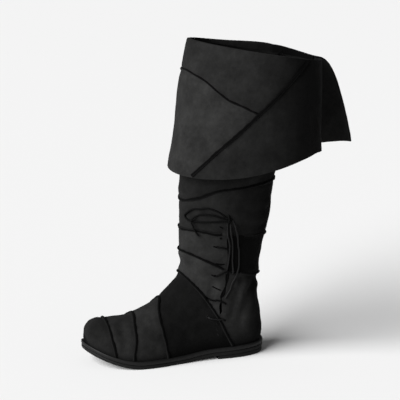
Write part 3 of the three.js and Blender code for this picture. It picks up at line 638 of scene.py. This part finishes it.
def brushed_suede(name, nap):
    """Split calf suede, brushed: no gloss, a soft sheen, and patches where the nap lies another way."""
    material = new_material(name)
    spot = add_node(material, "ShaderNodeTexCoord").outputs["Object"]
    tone = add_node(material, "ShaderNodeAttribute", {"attribute_name": "tone"}).outputs["Fac"]
    # patches of brushed nap about 30 mm across, smudges about 7 mm, fibres about 1 mm
    patches = add_node(material, "ShaderNodeTexNoise", values={"Scale": 33, "Detail": 3.0, "Roughness": 0.6},
                       links={"Vector": spot}).outputs["Fac"]
    smudges = add_node(material, "ShaderNodeTexNoise", values={"Scale": 150, "Detail": 3.0, "Roughness": 0.6},
                       links={"Vector": spot}).outputs["Fac"]
    fibres = add_node(material, "ShaderNodeTexNoise", values={"Scale": 1100, "Detail": 2.0},
                      links={"Vector": spot}).outputs["Fac"]
    patch_level = add_node(material, "ShaderNodeMapRange",
                           values={"From Min": 0.32, "From Max": 0.68, "To Min": 1 - nap, "To Max": 1 + nap},
                           links={"Value": patches}).outputs["Result"]
    smudge_level = add_node(material, "ShaderNodeMapRange",
                            values={"From Min": 0.3, "From Max": 0.7, "To Min": 0.86, "To Max": 1.16},
                            links={"Value": smudges}).outputs["Result"]
    fibre_level = add_node(material, "ShaderNodeMapRange",
                           values={"From Min": 0.3, "From Max": 0.7, "To Min": 0.88, "To Max": 1.12},
                           links={"Value": fibres}).outputs["Result"]
    shade = tone
    for level in (patch_level, smudge_level, fibre_level):
        shade = add_node(material, "ShaderNodeMath", {"operation": "MULTIPLY"},
                         links={0: shade, 1: level}).outputs[0]
    warm = add_node(material, "ShaderNodeMath", {"operation": "MULTIPLY"}, {1: 0.985}, {0: shade}).outputs[0]
    colour = add_node(material, "ShaderNodeCombineColor", links={"Red": shade, "Green": shade, "Blue": warm})
    grain = add_node(material, "ShaderNodeBump", values={"Strength": 0.5, "Distance": 0.0005},
                     links={"Height": fibres})
    dents = add_node(material, "ShaderNodeBump", values={"Strength": 0.35, "Distance": 0.0012},
                     links={"Height": smudges, "Normal": grain.outputs["Normal"]})
    shader = add_node(material, "ShaderNodeBsdfPrincipled",
                      values={"Roughness": 0.95, "Specular IOR Level": 0.05, "Sheen Weight": 0.012,
                              "Sheen Roughness": 0.5},
                      links={"Base Color": colour.outputs["Color"], "Normal": dents.outputs["Normal"]})
    return finish_material(material, shader)


def even_finish(name, code, roughness, specular, scale, strength, mottle):
    """A plain finish with fine unevenness: its scale is one over the size of a grain in metres."""
    material = new_material(name)
    spot = add_node(material, "ShaderNodeTexCoord").outputs["Object"]
    grain = add_node(material, "ShaderNodeTexNoise", values={"Scale": scale, "Detail": 3.0},
                     links={"Vector": spot}).outputs["Fac"]
    red, green, blue = from_hex(code)
    ramp = add_node(material, "ShaderNodeValToRGB", links={"Fac": grain})
    ramp.color_ramp.elements[0].position = 0.3
    ramp.color_ramp.elements[1].position = 0.7
    ramp.color_ramp.elements[0].color = (red * (1 - mottle), green * (1 - mottle), blue * (1 - mottle), 1)
    ramp.color_ramp.elements[1].color = (red * (1 + mottle), green * (1 + mottle), blue * (1 + mottle), 1)
    bump = add_node(material, "ShaderNodeBump", values={"Strength": strength, "Distance": 0.0004},
                    links={"Height": grain})
    shader = add_node(material, "ShaderNodeBsdfPrincipled",
                      values={"Roughness": roughness, "Specular IOR Level": specular},
                      links={"Base Color": ramp.outputs["Color"], "Normal": bump.outputs["Normal"]})
    return finish_material(material, shader)


# Calf suede, dyed black and brushed by hand: dead matt, with cloudy patches of nap
SUEDE = brushed_suede("brushed black suede", 0.26)
# Thinner suede of the gusset: it reads as a dark gap behind the lace
GUSSET_SUEDE = even_finish("soft black gusset suede", "#0b0b0b", 0.95, 0.04, 260, 0.3, 0.2)
# Rubber pressed in a mould: a dull even edge with a faint broad gleam
RUBBER = even_finish("moulded black rubber", "#101010", 0.6, 0.12, 400, 0.15, 0.12)
# Leather dyed and burnished on its cut edge: slightly smoother and lighter than the rubber
MIDSOLE = even_finish("dyed and burnished leather edge", "#141414", 0.5, 0.14, 300, 0.2, 0.15)
# Undyed lining leather of the insole: the one brown surface, deep in the boot
INSOLE = even_finish("plain lining leather", "#3a332c", 0.7, 0.4, 350, 0.25, 0.12)
# Cotton cord drawn through wax: two twisted strands with a thin highlight along each
COTTON = even_finish("waxed black cotton cord", "#0e0e0e", 0.55, 0.12, 900, 0.3, 0.15)
# The same cord with painted shade, for the knot, the bow and the rows pulled tight: painted darker, and with
# less gloss
SHADED_COTTON = even_finish("waxed black cotton cord, painted shade", "#050505", 0.7, 0.05, 900, 0.3, 0.15)
# Sewing thread of the tacks: fine and slightly lighter than the suede
THREAD = even_finish("black sewing thread", "#141414", 0.6, 0.15, 900, 0.2, 0.1)
# Painted shade: near black, for the shade inside the punched holes and in the pinches where the lace pulls
HOLE_SHADE = even_finish("painted shade in holes and pinches", "#050505", 0.95, 0.02, 400, 0.1, 0.1)

# Camera: the photograph's angle to the boot

azimuth = math.radians(-19)
pitch = math.radians(12.5)
target = Vector((-0.060, 0.0, 0.2453))
towards = Vector((math.sin(azimuth) * math.cos(pitch), -math.cos(azimuth) * math.cos(pitch), math.sin(pitch)))
camera_data = bpy.data.cameras.new("camera")
camera = bpy.data.objects.new("camera", camera_data)
bpy.context.collection.objects.link(camera)
camera.location = target + towards * 2.5
camera.rotation_euler = (-towards).to_track_quat("-Z", "Y").to_euler()
camera_data.sensor_width = 36
camera_data.lens = 1633 / 400 * 36
bpy.context.scene.camera = camera

# Laces

knot_pieces = []
for index, wrap in enumerate(KNOT_WRAPS):
    run = np.array(wrap)
    spots = lifted(run, CLEARANCE + FACET_ALLOWANCE + (0.5 + run[:, 2]) * LACE_DIAMETER)
    knot_pieces.append(lace_tube("knot_wrap_%d" % index, spots)[0])
knot = finish_piece(join_pieces("lace_knot_wraps", knot_pieces), SHADED_COTTON, "lace_cord", "lace_knot",
                    angle=60)

# The bow's loop and end get the cord with painted shade
for node_name, route, far_end, finish in (("lace_loop", LACE_LOOP, "knot", SHADED_COTTON),
                                          ("lace_end", LACE_END, "bare", SHADED_COTTON),
                                          ("lace_tail", LACE_TAIL, "object", COTTON)):
    cord, line = lace_tube(node_name + "_cord", np.array(route) / MM)
    finish_piece(cord, finish, "lace_cord", node_name, angle=60)

row_pieces = []
for row_name, row_run in LACE_ROWS.items():
    run = np.array(row_run)
    row_piece = lace_tube(row_name, lifted(run, FACET_ALLOWANCE + (0.5 + run[:, 2]) * LACE_DIAMETER))[0]
    row_piece.data.materials.append(COTTON if row_name in UNSHADED_RUNS else SHADED_COTTON)
    row_pieces.append(row_piece)
finish_piece(join_pieces("lace_rows", row_pieces), None, "lace_cord", "lace_crossings", angle=60)

# The upper's skin

PANEL_TONES = {
    "toe": 22, "vamp_front": 28, "vamp": 29, "side": 13, "front_low": 36, "rear_low": 30,
    "front_middle": 31, "rear_middle": 4, "front_high": 24, "rear_high": 19, "top": 21,
}

# Painted shade: towards the rear, where the boot turns away from the light, the suede's tone is painted
# darker
PAINTED_SHADE_TURN = 0.215
FLESH_TONE = 13
CUFF_FLESH_TONE = 25
PAINTED_SHADE_STRENGTH = 0.9


# Painted shade: a factor that darkens the tone towards the rear
def painted_rear_shade(turn, start, reach):
    rear = np.clip((start - np.minimum(turn, 1 - turn)) / reach, 0, 1)
    return 1 - PAINTED_SHADE_STRENGTH * rear * rear * (3 - 2 * rear)


def seam_place(names, turn):
    """Where the seams of a band lie at each turn."""
    pairs = []
    for name in names:
        is_mirrored, _, path = BOOT_SEAMS[name]
        pairs += [(spot_turn, place) for place, spot_turn in path]
        if is_mirrored:
            pairs += [(1 - spot_turn, place) for place, spot_turn in path]
    pairs += [(spot_turn - 1, place) for spot_turn, place in pairs]
    pairs += [(spot_turn + 1, place) for spot_turn, place in pairs if spot_turn < 0.6]
    pairs.sort()
    table = np.array(pairs)
    return np.interp(turn, table[:, 0], table[:, 1])


def panel_tones(place, turn):
    seams = [seam_place([name], turn) for name in ("toe", "ball", "instep", "quarter")]
    ankle = seam_place(["ankle_front", "ankle_rear"], turn)
    calf = seam_place(["calf_front", "calf_rear"], turn)
    shaft = seam_place(["shaft"], turn)
    slit = np.interp(place, [spot[0] for spot in SLIT_PATH], [spot[1] for spot in SLIT_PATH])
    slit_path_end = 20.2
    sharpness = np.where(place < slit_path_end, 400, 8)
    front = np.clip((turn - slit) * sharpness + 0.5, 0, 1) * (1 - np.clip((turn - 0.76) / 0.12, 0, 1))

    def mixed(front_name, rear_name):
        return front * grey(PANEL_TONES[front_name]) + (1 - front) * grey(PANEL_TONES[rear_name])

    level = np.where(place < seams[0], grey(PANEL_TONES["toe"]), grey(PANEL_TONES["vamp_front"]))
    level = np.where(place >= seams[1], grey(PANEL_TONES["vamp"]), level)
    level = np.where(place >= seams[2], grey(PANEL_TONES["side"]), level)
    level = np.where(place >= seams[3], mixed("front_low", "rear_low"), level)
    level = np.where(place >= ankle, mixed("front_middle", "rear_middle"), level)
    level = np.where(place >= calf, mixed("front_high", "rear_high"), level)
    level = np.where(place >= shaft, grey(PANEL_TONES["top"]), level)
    # The rear of the upper gets painted shade
    return level * painted_rear_shade(turn, PAINTED_SHADE_TURN, 0.12)


def even_places(count):
    """Places of rows that lie evenly between the boot's outer side and its front."""
    fine = np.linspace(0, RIM, 1200)
    reach = reach_along(face_points(fine, 0.25) * 0.6 + face_points(fine, 0.5) * 0.4)
    return np.interp(np.linspace(0, reach[-1], count), reach, fine)


SKIN_COLUMNS = 148
SKIN_ROWS = 296
skin, around, along = new_grid("suede_upper", SKIN_COLUMNS, SKIN_ROWS)
row_places = even_places(SKIN_ROWS + 1)
row_index = np.rint(along * SKIN_ROWS).astype(int)
column_index = SKIN_COLUMNS - np.rint(around * SKIN_COLUMNS).astype(int)
place = row_places[row_index]
slit_table = np.array(SLIT_PATH)
slit_low = slit_table[0, 0]
slit_high = slit_table[-1, 0]
slit_turn = np.interp(place, slit_table[:, 0], slit_table[:, 1])
fade = np.clip(1 - np.maximum(slit_low - place, place - slit_high) / 2.2, 0, 1)
shift = (slit_turn - 0.25) * fade ** 2 * (3 - 2 * fade)
base = column_index / SKIN_COLUMNS
half_cell = 0.5 / SKIN_COLUMNS
open_share = np.clip((place - slit_low) / 0.5, 0, 1) * np.clip((slit_high - place) / 0.35, 0, 1)
span = turn_width(place, slit_turn)
# the lace rows pull the edges together, so the slit gapes between them
gape = 0.78 + 0.32 * np.cos((place - 17.0) * 2 * np.pi / 2.4)
half_open = (SLIT_WIDTH / 2 / span) * np.sqrt(open_share) * gape
slit_left = SKIN_COLUMNS // 4
centred = base - (slit_left + 0.5) / SKIN_COLUMNS
turn = base + (shift + 0.25 - (slit_left + 0.5) / SKIN_COLUMNS) * np.exp(-(centred / 0.1) ** 2)
gap = np.maximum(half_open - half_cell, -half_cell * 0.7) * (fade > 0)
turn += np.sign(centred) * gap * np.exp(-(np.abs(centred) - half_cell) / 0.03)
turn = np.where(column_index == 0, 0.0, np.where(column_index == SKIN_COLUMNS, 1.0, turn))

skin_spots = skin_points(place, turn)
nose = face_points(np.array(0.0), np.array(0.5))
skin_spots[row_index == 0] = [nose[0], SECTIONS[0][6], nose[2]]
line_height = feather(HEEL_CENTRE - skin_spots[:, 0]) - 0.2
below = (skin_spots[:, 2] < line_height) & (turn != 0.5)
skin_spots[:, 2] = np.where(below, line_height, skin_spots[:, 2])
place_corners(skin, skin_spots)
face_place = face_means(skin, place)
face_turn = face_means(skin, turn)
set_tone(skin, panel_tones(face_place, face_turn))
face_below = face_means(skin, below.astype(float)) > 0.99
face_column = face_means(skin, column_index.astype(float))
in_slit = (np.abs(face_column - (slit_left + 0.5)) < 0.1) & (face_place > slit_low) & (face_place < slit_high)
drop_faces(skin, face_below | in_slit)
weld(skin)
thicken(skin, WALL, grey(FLESH_TONE))
finish_piece(skin, SUEDE, "suede", "upper")

# Raised seams: two cut edges sewn outwards and folded to one side


# Painted light and shade: the fold is painted near black for its shadow, and the top of its cut edge, where
# the light falls, lighter
LIT_EDGE_TONE = 17
FOLD_SHADOW_TONE = 3
FOLD_PROFILE = [(-1.3, -1.6), (-1.1, 0.5), (-0.6, 1.7), (0.3, 2.5), (1.5, 2.7), (2.7, 2.3), (3.3, 1.6),
                (3.1, 1.0), (2.1, 0.8), (1.1, 0.4), (0.8, -1.6)]


def folded_seam(name, centres, normals, lean, size=1.0):
    """A narrow folded edge along a seam line, a little wavy as cut by hand."""
    steps = len(centres)
    corners = len(FOLD_PROFILE)
    piece, around_share, along_share = new_grid(name, corners, steps + 1)
    row = np.rint(along_share * (steps + 1)).astype(int)
    station = np.clip(row - 1, 0, steps - 1)
    corner = np.rint(around_share * corners).astype(int) % corners
    forward = unit(np.gradient(centres, axis=0))
    side = unit(np.cross(forward, normals)) * lean
    profile = np.array(FOLD_PROFILE)
    wave = np.array([noise.noise(Vector(spot) / 7) for spot in centres])
    reach = 1 + 0.35 * wave
    sideways = profile[corner, 0] * reach[station] * size
    upwards = size * profile[corner, 1] * np.where(profile[corner, 1] > 0, 1 + 0.2 * wave[station], 1)
    end = (row == 0) | (row == steps + 1)
    sideways = np.where(end, 0.8, sideways)
    upwards = np.where(end, 0.6, upwards)
    spots = centres[station] + side[station] * sideways[:, None] + normals[station] * upwards[:, None]
    place_corners(piece, spots)
    middle = face_means(piece, around_share) * corners
    # The lit top of the cut edge gets the lighter tone, the rest of the fold the painted shadow
    set_tone(piece, np.where((middle > 1) & (middle < 3), grey(LIT_EDGE_TONE), grey(FOLD_SHADOW_TONE)))
    weld(piece)
    outward_normals(piece)
    return piece


seam_pieces = []
for seam_name, (lean, line) in zip(BOOT_SEAMS, SEAM_LINES):
    centres = skin_points(line[:, 0], line[:, 1])
    keep = centres[:, 2] > feather(HEEL_CENTRE - centres[:, 0]) - 0.5
    line = line[keep]
    centres = centres[keep]
    normals = face_normals(line[:, 0], line[:, 1])
    seam_pieces.append(folded_seam("seam_" + seam_name, centres, normals, lean))
finish_piece(join_pieces("folded_boot_seams", seam_pieces), SUEDE, "suede")

# The turned-down cuff with its rolled fold

CUFF_TONES = {"upper": 28, "front": 33, "side": 23}


def cuff_tones(fall, turn):
    folded = np.minimum(turn, 1 - turn)
    front = np.array(CUFF_FRONT_SEAM)
    side = np.array(CUFF_SIDE_SEAM)
    front_fall = np.interp(folded, front[:, 1], front[:, 0])
    side_fall = np.interp(folded, side[:, 1], side[:, 0])
    level = np.full(fall.shape, grey(CUFF_TONES["side"]))
    in_front = (folded > side[4, 1]) & (fall > front_fall) & ((fall < side_fall) | (folded > side[-1, 1]))
    in_upper = np.where(folded > side[4, 1], fall <= front_fall, (fall < side_fall) & (folded > side[0, 1]))
    level = np.where(in_front, grey(CUFF_TONES["front"]), level)
    level = np.where(in_upper, grey(CUFF_TONES["upper"]), level)
    # The rear of the cuff gets painted shade
    return level * painted_rear_shade(turn, 0.31, 0.2)


CUFF_COLUMNS = 220
CUFF_FALL_ROWS = 96
FOLD_ROWS = 12
cuff, around, along = new_grid("suede_cuff", CUFF_COLUMNS, CUFF_FALL_ROWS + FOLD_ROWS)
turn = CUFF_ROWS[-1][0] - (CUFF_ROWS[-1][0] - CUFF_ROWS[0][0]) * around
row = np.rint((1 - along) * (CUFF_FALL_ROWS + FOLD_ROWS)).astype(int)
fall = np.clip((row - FOLD_ROWS) / CUFF_FALL_ROWS, 0, 1)
hanging = cuff_skin(fall, turn)
start = cuff_skin(np.zeros(turn.shape), turn)
outward = cuff_normals(np.full(turn.shape, 0.01), turn)
outward[:, 2] = 0
outward = unit(outward)
fold_radius = (WALL + CLEARANCE + FACET_ALLOWANCE + CUFF_THICKNESS) / 2 + 0.3
roll = np.pi * (1 - row / FOLD_ROWS)
rolled = start - outward * (fold_radius * (1 - np.cos(roll)))[:, None]
# the fold lies flat at the front and stands up fuller on the inner side, towards the split
fullness = 0.2 + 2.4 * np.exp(-((turn - 0.83) / 0.09) ** 2)
rolled[:, 2] += fold_radius * np.sin(roll) * fullness
rolled[:, 2] -= np.where(row == 0, 6, 0)
cuff_spots = np.where((row >= FOLD_ROWS)[:, None], hanging, rolled)
place_corners(cuff, cuff_spots)
set_tone(cuff, cuff_tones(face_means(cuff, fall), face_means(cuff, turn)))
thicken(cuff, CUFF_THICKNESS, grey(CUFF_FLESH_TONE))
finish_piece(cuff, SUEDE, "suede", "cuff")

# The front seam is folded narrow, the two side seams wide
CUFF_SEAM_SIZES = (0.7, 1.15, 1.15)
cuff_seam_pieces = []
for index, line in enumerate(CUFF_SEAMS):
    centres = cuff_skin(line[:, 0], line[:, 1])
    normals = cuff_normals(line[:, 0], line[:, 1])
    cuff_seam_pieces.append(folded_seam("cuff_seam_%d" % index, centres, normals, 1, CUFF_SEAM_SIZES[index]))
finish_piece(join_pieces("folded_cuff_seams", cuff_seam_pieces), SUEDE, "suede")

# The gusset behind the slit

gusset, around, along = new_grid("gusset_strip", 16, 70)
gusset_line = path_points(GUSSET_PATH, 71)
row = np.rint(along * 70).astype(int)
middle_turn = gusset_line[row, 1]
gusset_place = gusset_line[row, 0]
aside = (0.5 - around) * GUSSET_WIDTH / turn_width(gusset_place, middle_turn)
ease_in = np.exp(-((0.5 - around) / 0.16) ** 2)
depth = -(WALL + CLEARANCE + FACET_ALLOWANCE) + 1.3 * ease_in
turn = middle_turn + aside
spots = face_points(gusset_place, turn) + face_normals(gusset_place, turn) * depth[:, None]
place_corners(gusset, spots)
thicken(gusset, 1.4)
finish_piece(gusset, GUSSET_SUEDE, "gusset_suede", "gusset")

# Punched holes with a pressed rim, and tacking stitches


def pressed_rim():
    """The pressed edge of a lace hole: a low ring, pulled a little oval by the lace."""
    bpy.ops.object.select_all(action="DESELECT")
    bpy.ops.mesh.primitive_torus_add(major_segments=24, minor_segments=8, major_radius=1.9 * MM,
                                     minor_radius=0.5 * MM)
    rim = bpy.context.active_object
    for corner in rim.data.vertices:
        corner.co.x *= 1.12
        corner.co.y *= 0.94
        corner.co.z = corner.co.z * 0.7 - abs(corner.co.x) * 0.06
    set_tone(rim, np.full(len(rim.data.polygons), grey(24)))
    return rim


def punched_well():
    """The inside of a lace hole: a shallow dish below the rim, which carries the hole's painted shade."""
    bpy.ops.object.select_all(action="DESELECT")
    bpy.ops.mesh.primitive_uv_sphere_add(segments=20, ring_count=10, radius=1.8 * MM)
    well = bpy.context.active_object
    for corner in well.data.vertices:
        corner.co.x *= 1.12
        corner.co.y *= 0.94
        corner.co.z *= 0.35 if corner.co.z < 0 else 0.06
    return well


def copy_at(model, spot, turned, size):
    """A copy of a piece with its own mesh, its corners moved to a spot of the boot."""
    made = model.copy()
    made.data = model.data.copy()
    bpy.context.collection.objects.link(made)
    move = Matrix.Translation(Vector(spot) * MM) @ turned.to_matrix().to_4x4() @ Matrix.Scale(size, 4)
    made.data.transform(move)
    return made


rim_model = pressed_rim()
well_model = punched_well()
rim_pieces = []
hole_pieces = []
for hole_place, hole_turn in LACE_HOLES:
    spot = skin_points(np.array([hole_place]), np.array([hole_turn]))[0]
    normal = Vector(face_normals(np.array([hole_place]), np.array([hole_turn]))[0])
    turned = normal.to_track_quat("Z", "Y")
    size = SMALL_HOLE if hole_place > SMALL_HOLES_FROM else 1.0
    rim_pieces.append(copy_at(rim_model, spot, turned, size))
    hole_pieces.append(copy_at(well_model, spot, turned, size))
bpy.data.objects.remove(rim_model)
bpy.data.objects.remove(well_model)
finish_piece(join_pieces("pressed_hole_rims", rim_pieces), SUEDE, "suede", angle=60)
# The wells are painted near black for the shade inside the holes
finish_piece(join_pieces("punched_lace_holes", hole_pieces), HOLE_SHADE, "suede", angle=None)

stitch_pieces = []
for index, (stitch_place, stitch_turn) in enumerate(TACK_STITCHES):
    ends = np.array([[stitch_place, stitch_turn - 0.004], [stitch_place + 0.02, stitch_turn],
                     [stitch_place, stitch_turn + 0.004]])
    spots = lifted(ends, [-0.4, 0.5, -0.4], skin_points)
    stitch_pieces.append(lace_tube("tack_%d" % index, spots, 0.9, 0.3, 8, False)[0])
finish_piece(join_pieces("tacking_stitches", stitch_pieces), THREAD, "lace_cord", angle=60)

# Painted shade: small near-black tubes on the suede where the lace pulls it into pinches at its holes, for
# the shade in the pinches
pinch_shade_pieces = []
for index, mark in enumerate(PINCH_SHADE_MARKS):
    run = path_points(mark, 5)
    spots = skin_points(run[:, 0], run[:, 1], 0.1)
    pinch_shade_pieces.append(lace_tube("pinch_%d" % index, spots, 2.1, 0.5, 8, False)[0])
finish_piece(join_pieces("painted_pinch_shade", pinch_shade_pieces), HOLE_SHADE, "suede", angle=60)

# The joining seam on the inside of the collar, forked below the rim

collar_pieces = []
for index, fork in enumerate(COLLAR_SEAM):
    run = path_points(fork, 30)
    normals = -face_normals(run[:, 0], run[:, 1])
    collar_pieces.append(folded_seam("collar_%d" % index, lifted(run, -WALL), normals, 1))
finish_piece(join_pieces("folded_collar_seam", collar_pieces), SUEDE, "suede")

# Sole layers


def feather_share(place):
    section = read_smoothly(SECTIONS, place)
    low = np.zeros(place.shape)
    high = np.ones(place.shape)
    for _ in range(30):
        share = (low + high) / 2
        height = section[:, 1] + (section[:, 3] - section[:, 1]) * share
        line = feather(section[:, 0] + (section[:, 2] - section[:, 0]) * share)
        above = height > line
        high = np.where(above, share, high)
        low = np.where(above, low, share)
    return low


def feather_end(inside, outside):
    for _ in range(30):
        middle = (inside + outside) / 2
        section = read_smoothly(SECTIONS, np.array([middle]))[0]
        if section[1] < feather(section[0]):
            inside = middle
        else:
            outside = middle
    return inside


OUTLINE_COUNT = 110


def sole_outline(edge):
    """The outer and inner halves of a sole layer's outline, from the toe to the heel."""
    toe_place = feather_end(4.0, 0.0)
    heel_place = feather_end(float(len(FOOT_ROWS)), float(len(FOOT_ROWS) + 7))
    share = (1 - np.cos(np.pi * np.arange(OUTLINE_COUNT + 1) / OUTLINE_COUNT)) / 2
    place = toe_place + (heel_place - toe_place) * share
    turn = np.arccos(1 - 2 * feather_share(place)) / (2 * np.pi)
    outer = face_points(place, turn)[:, :2]
    inner = face_points(place, 1 - turn)[:, :2]
    loop = np.concatenate([outer, inner[-2:0:-1]])
    forward = unit(np.roll(loop, -1, axis=0) - np.roll(loop, 1, axis=0))
    moved = loop + np.stack([forward[:, 1], -forward[:, 0]], axis=1) * edge
    outer = moved[:OUTLINE_COUNT + 1]
    inner = np.concatenate([moved[:1], moved[:OUTLINE_COUNT - 1:-1]])
    return outer, inner


def layer_piece(name, edge, bottom_at, top_at, profile):
    """A sole layer between two heights. profile rounds its side, as inset and share of height."""
    across = 7
    ring = []
    for inset, share in profile:
        ring.append(("outer", inset, share))
    for step in range(1, across):
        ring.append(("top", step / across, 1.0))
    for inset, share in reversed(profile):
        ring.append(("inner", inset, share))
    for step in range(1, across):
        ring.append(("bottom", 1 - step / across, 0.0))
    count = len(ring)
    piece, around, along = new_grid(name, count, OUTLINE_COUNT)
    row = np.rint(along * OUTLINE_COUNT).astype(int)
    column = np.rint(around * count).astype(int) % count
    outlines = {inset: sole_outline(edge - inset) for inset in {item[1] for item in ring if item[0] in
                                                               ("outer", "inner")}}
    first_outer, first_inner = outlines[profile[0][0]]
    last_outer, last_inner = outlines[profile[-1][0]]
    spots = np.zeros((len(row), 3))
    for index, (kind, value, share) in enumerate(ring):
        chosen = column == index
        rows = row[chosen]
        if kind == "outer":
            plan = outlines[value][0][rows]
        elif kind == "inner":
            plan = outlines[value][1][rows]
        elif kind == "top":
            plan = last_outer[rows] + (last_inner[rows] - last_outer[rows]) * value
        else:
            plan = first_outer[rows] + (first_inner[rows] - first_outer[rows]) * value
        length = HEEL_CENTRE - plan[:, 0]
        low = bottom_at(length)
        spots[chosen] = np.column_stack([plan, low + (top_at(length) - low) * share])
    place_corners(piece, spots)
    weld(piece, 0.05)
    outward_normals(piece)
    return piece


def outsole_top(length):
    return sole_bottom(length) + OUTSOLE_THICKNESS


ROUND_SIDE = [(1.4, 0.0), (0.5, 0.07), (0.1, 0.22), (0.0, 0.5), (0.1, 0.8), (0.5, 0.94), (1.1, 1.0)]
outsole = layer_piece("rubber_outsole", OUTSOLE_EDGE + 0.3, sole_bottom, outsole_top, ROUND_SIDE)
finish_piece(outsole, RUBBER, "outsole_rubber", "outsole", angle=40)
midsole = layer_piece("leather_midsole", WELT_EDGE, lambda length: outsole_top(length) + 0.15, feather,
                      ROUND_SIDE)
finish_piece(midsole, MIDSOLE, "midsole_leather", "midsole", angle=40)
insole = layer_piece("leather_insole", -WALL - 1.9, lambda length: feather(length) + CLEARANCE,
                     lambda length: feather(length) + CLEARANCE + INSOLE_THICKNESS, ROUND_SIDE)
finish_piece(insole, INSOLE, "insole_leather", "insole", angle=40)

heel = layer_piece("rubber_heel", HEEL_EDGE + 0.2, lambda length: np.zeros(length.shape),
                   lambda length: np.maximum(BREAST_LIFT / 2, sole_bottom(length) - 0.1), ROUND_SIDE)
activate(heel)
bpy.ops.object.mode_set(mode="EDIT")
bpy.ops.mesh.select_all(action="SELECT")
bpy.ops.mesh.bisect(plane_co=((HEEL_CENTRE - HEEL_LENGTH) * MM, 0, 0), plane_no=(1, 0, 0), use_fill=True,
                    clear_inner=True)
bpy.ops.object.mode_set(mode="OBJECT")
for corner in heel.data.vertices:
    if abs(corner.co.x - (HEEL_CENTRE - HEEL_LENGTH) * MM) < 1e-5:
        corner.co.x += BREAST_HOLLOW * MM * max(0, 1 - (corner.co.y / (BALL_WIDTH / 2 * MM)) ** 2)
outward_normals(heel)
finish_piece(heel, RUBBER, "outsole_rubber", "heel", angle=40)

# Light and floor

bpy.ops.object.select_all(action="DESELECT")
bpy.ops.mesh.primitive_plane_add(size=12, location=(0, 0, 0))
floor = bpy.context.active_object
floor.name = "floor"
FLOOR = even_finish("white studio floor", "#f0f0f0", 0.9, 0.05, 3, 0.0, 0.0)
floor.data.materials.append(FLOOR)
light_data = bpy.data.lights.new("window", "SUN")
light_data.energy = 6.2
light_data.angle = math.radians(56)
window = bpy.data.objects.new("window", light_data)
bpy.context.collection.objects.link(window)
window.rotation_euler = Vector((0.88, 0.3, -0.5)).to_track_quat("-Z", "Y").to_euler()
world = bpy.data.worlds.new("studio")
bpy.context.scene.world = world
world.use_nodes = True
world.node_tree.nodes["Background"].inputs["Color"].default_value = (1, 1, 1, 1)
world.node_tree.nodes["Background"].inputs["Strength"].default_value = 0.12
bpy.context.scene.view_settings.view_transform = "Standard"
